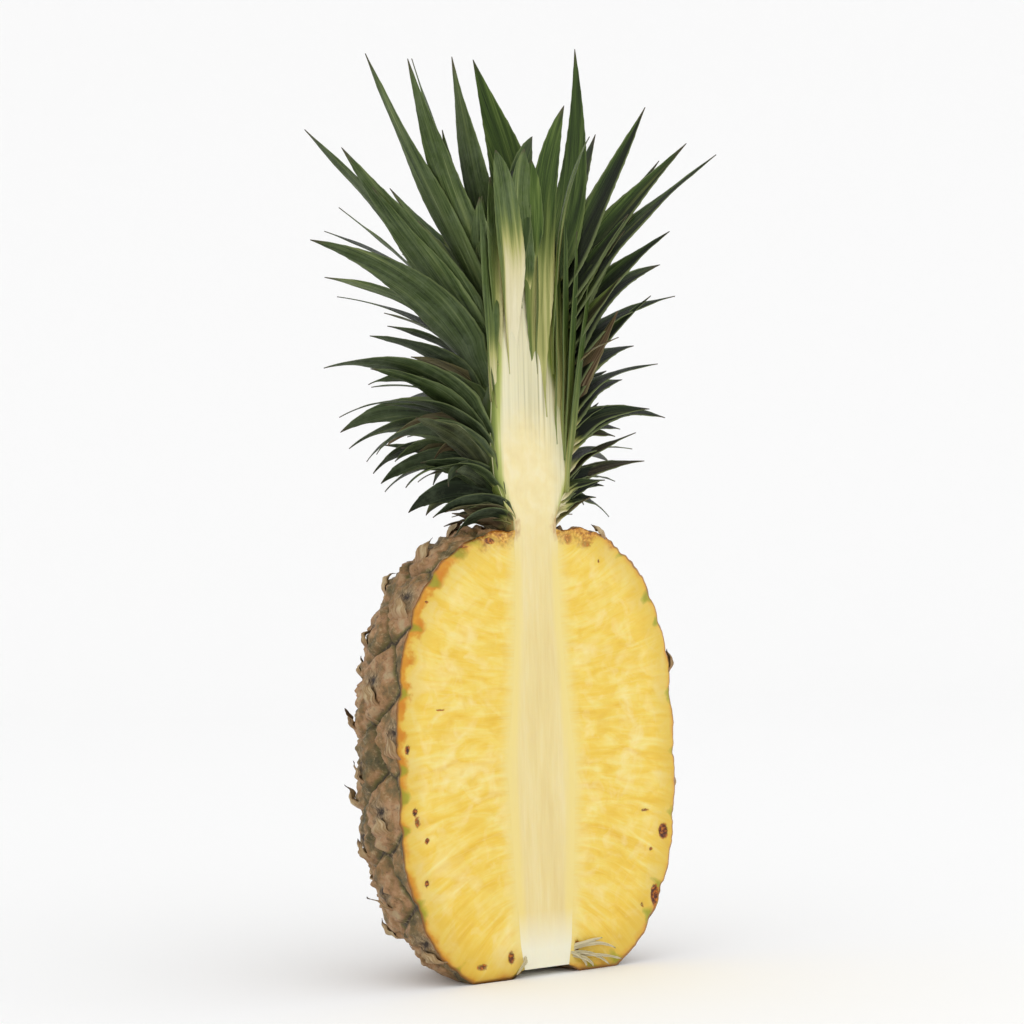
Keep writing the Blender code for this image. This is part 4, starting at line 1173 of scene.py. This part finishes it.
def smallLeaves():
    # the listed leaves, copies of drawn neighbours at part of their length, low ones all round at feet that
    # rise in equal steps, and a ring of dry ones
    draw = np.random.default_rng(77)
    size = small["stations"], small["columns"]
    blades = [makeBlade(row[:4], row[4:6], 200 + i, *size, dry=row[6])
              for i, row in enumerate(small["single"])]
    for key, seed, dry in (("opened", 240, 0.0), ("fibres", 260, 0.35)):
        for i, (row, opened) in enumerate(small[key]):
            blades.append(makeBlade(row, None, seed + i, *size, dry=dry, opened=opened))
    for i in range(small["fillers"]):
        pick = int(draw.integers(0, len(leafRows) - 8))
        (azimuth, reach, top, width), (footAzimuth, foot) = leafRows[pick], leafFeet[pick]
        share = draw.uniform(*small["fillerLength"])
        foot = foot + draw.uniform(-3, 5)
        row = (azimuth + draw.normal(0, 9), reach * share, foot + (top - foot) * share + draw.normal(0, 5),
               width * draw.uniform(*small["fillerWidth"]))
        dry = 0.5 * draw.uniform() ** 6
        footAzimuth = min(max(footAzimuth + draw.normal(0, 9), crown["azimuthMargin"]), 166)
        blades.append(makeBlade(row, (footAzimuth, foot), 300 + i, *size, dry=dry))
    for i in range(small["skirt"]):
        azimuth = 14 + 152 * (i * 11 % small["skirt"] + draw.uniform(0.2, 0.8)) / small["skirt"]
        foot = 168 + 30 * (i + 0.5) / small["skirt"]
        row = (azimuth + draw.normal(0, 6), draw.uniform(*small["skirtReach"]), foot + draw.uniform(-4, 24),
               draw.uniform(*small["skirtWidth"]))
        blades.append(makeBlade(row, (azimuth, foot), 500 + i, *size, dry=0.4 * draw.uniform() ** 4))
    for i in range(small["neck"]):
        azimuth = 10 + 160 * (i + draw.uniform(0.2, 0.8)) / small["neck"]
        row = (azimuth + draw.normal(0, 8), draw.uniform(*small["neckReach"]),
               draw.uniform(*small["neckTop"]), draw.uniform(*small["neckWidth"]))
        base = (azimuth, draw.uniform(*small["neckFoot"]))
        blades.append(makeBlade(row, base, 400 + i, *size, dry=draw.uniform(0.15, 1)))
    return blades


smallBlades = smallLeaves()
smallPiece = makeLeaves("crown_leaves_small", smallBlades, leafFinish)
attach(smallPiece, "root")
print("smaller leaves:", len(smallBlades), "in", len(smallPiece.data.polygons), "faces")

# The pale floor, the soft light and the camera
studio = {
    "floorColour": "#FAFAFA",
    "skyStrength": 1.0,
    "keyPower": 2.2,
    "keyPlace": (0.2, -1.5, 1.1),
    "keySize": 1.2,
    "fillPower": 0.8,
    "fillPlace": (-1.3, -0.8, 0.8),
    "fillSize": 1.4,
    "pixel": 0.37,          # millimetres of the object to a pixel of the picture, at the fruit's axis
    "distance": 1100.0,
    "azimuth": 35.0,        # the camera stands this far round to the left
    "roll": 1.5,
    "axisRight": 18.5,      # the axis stands this many pixels right of the middle
    "baseRow": 975.0,       # the row of the picture where the fruit rests
    "imageSize": 1024,
}


def makeFloor():
    # a level strip that bends up into a wall: a profile of a straight line, a quarter circle and a line
    bend = np.linspace(0, math.pi / 2, 24)
    radius, front, back, top = 700.0, -2500.0, 1500.0, 3000.0
    forward = np.concatenate(([front], back + radius * np.sin(bend), [back + radius]))
    up = np.concatenate(([0.0], radius * (1 - np.cos(bend)), [top]))
    across = np.linspace(-3500, 3500, 3)
    turn = math.radians(studio["azimuth"])
    x = across[None, :] * math.cos(turn) + forward[:, None] * math.sin(turn)
    y = -across[None, :] * math.sin(turn) + forward[:, None] * math.cos(turn)
    points = np.stack((x, y, np.broadcast_to(up[:, None], x.shape)), -1)
    material, tree, shader = newMaterial("studio floor, matt paper", Roughness=0.9)
    connect(tree, shader.inputs["Base Color"], studio["floorColour"])
    return makeMesh("studio_floor", points, gridFaces(*x.shape, joined=False), materials=(material,))


makeFloor()


def makeLight(name, power, place, size):
    # a square soft light that faces the middle of the fruit
    data = bpy.data.lights.new(name, "AREA")
    data.energy = power
    data.size = size
    light = bpy.data.objects.new(name, data)
    light.location = place
    light.rotation_euler = (Vector((0, 0, 0.17)) - Vector(place)).to_track_quat("-Z", "Y").to_euler()
    bpy.context.scene.collection.objects.link(light)


makeLight("key_light", studio["keyPower"], studio["keyPlace"], studio["keySize"])
makeLight("fill_light", studio["fillPower"], studio["fillPlace"], studio["fillSize"])
world = bpy.data.worlds.new("soft white room")
world.use_nodes = True
world.node_tree.nodes["Background"].inputs[0].default_value = (1.0, 1.0, 1.0, 1.0)
world.node_tree.nodes["Background"].inputs[1].default_value = studio["skyStrength"]
bpy.context.scene.world = world
bpy.context.scene.view_settings.view_transform = "Standard"


def makeCamera():
    # looks level at the axis from the left, with the roll and the sideways step of the picture
    turn, roll = math.radians(studio["azimuth"]), math.radians(studio["roll"])
    forward = Vector((math.sin(turn), math.cos(turn), 0))
    right = Vector((math.cos(turn), -math.sin(turn), 0))
    up = Vector((0, 0, 1))
    height = (studio["baseRow"] - studio["imageSize"] / 2) * studio["pixel"]
    place = Vector((0, axisY, height)) - forward * studio["distance"]
    place -= right * studio["axisRight"] * studio["pixel"]
    sideways = right * math.cos(roll) - up * math.sin(roll)
    upwards = right * math.sin(roll) + up * math.cos(roll)
    data = bpy.data.cameras.new("camera")
    data.sensor_width = 36.0
    data.lens = data.sensor_width * studio["distance"] / studio["pixel"] / studio["imageSize"]
    camera = bpy.data.objects.new("camera", data)
    columns = Matrix((sideways, upwards, -forward)).transposed()
    camera.matrix_world = Matrix.Translation(place * mm) @ columns.to_4x4()
    bpy.context.scene.collection.objects.link(camera)
    bpy.context.scene.camera = camera


makeCamera()
print("stage and camera made")
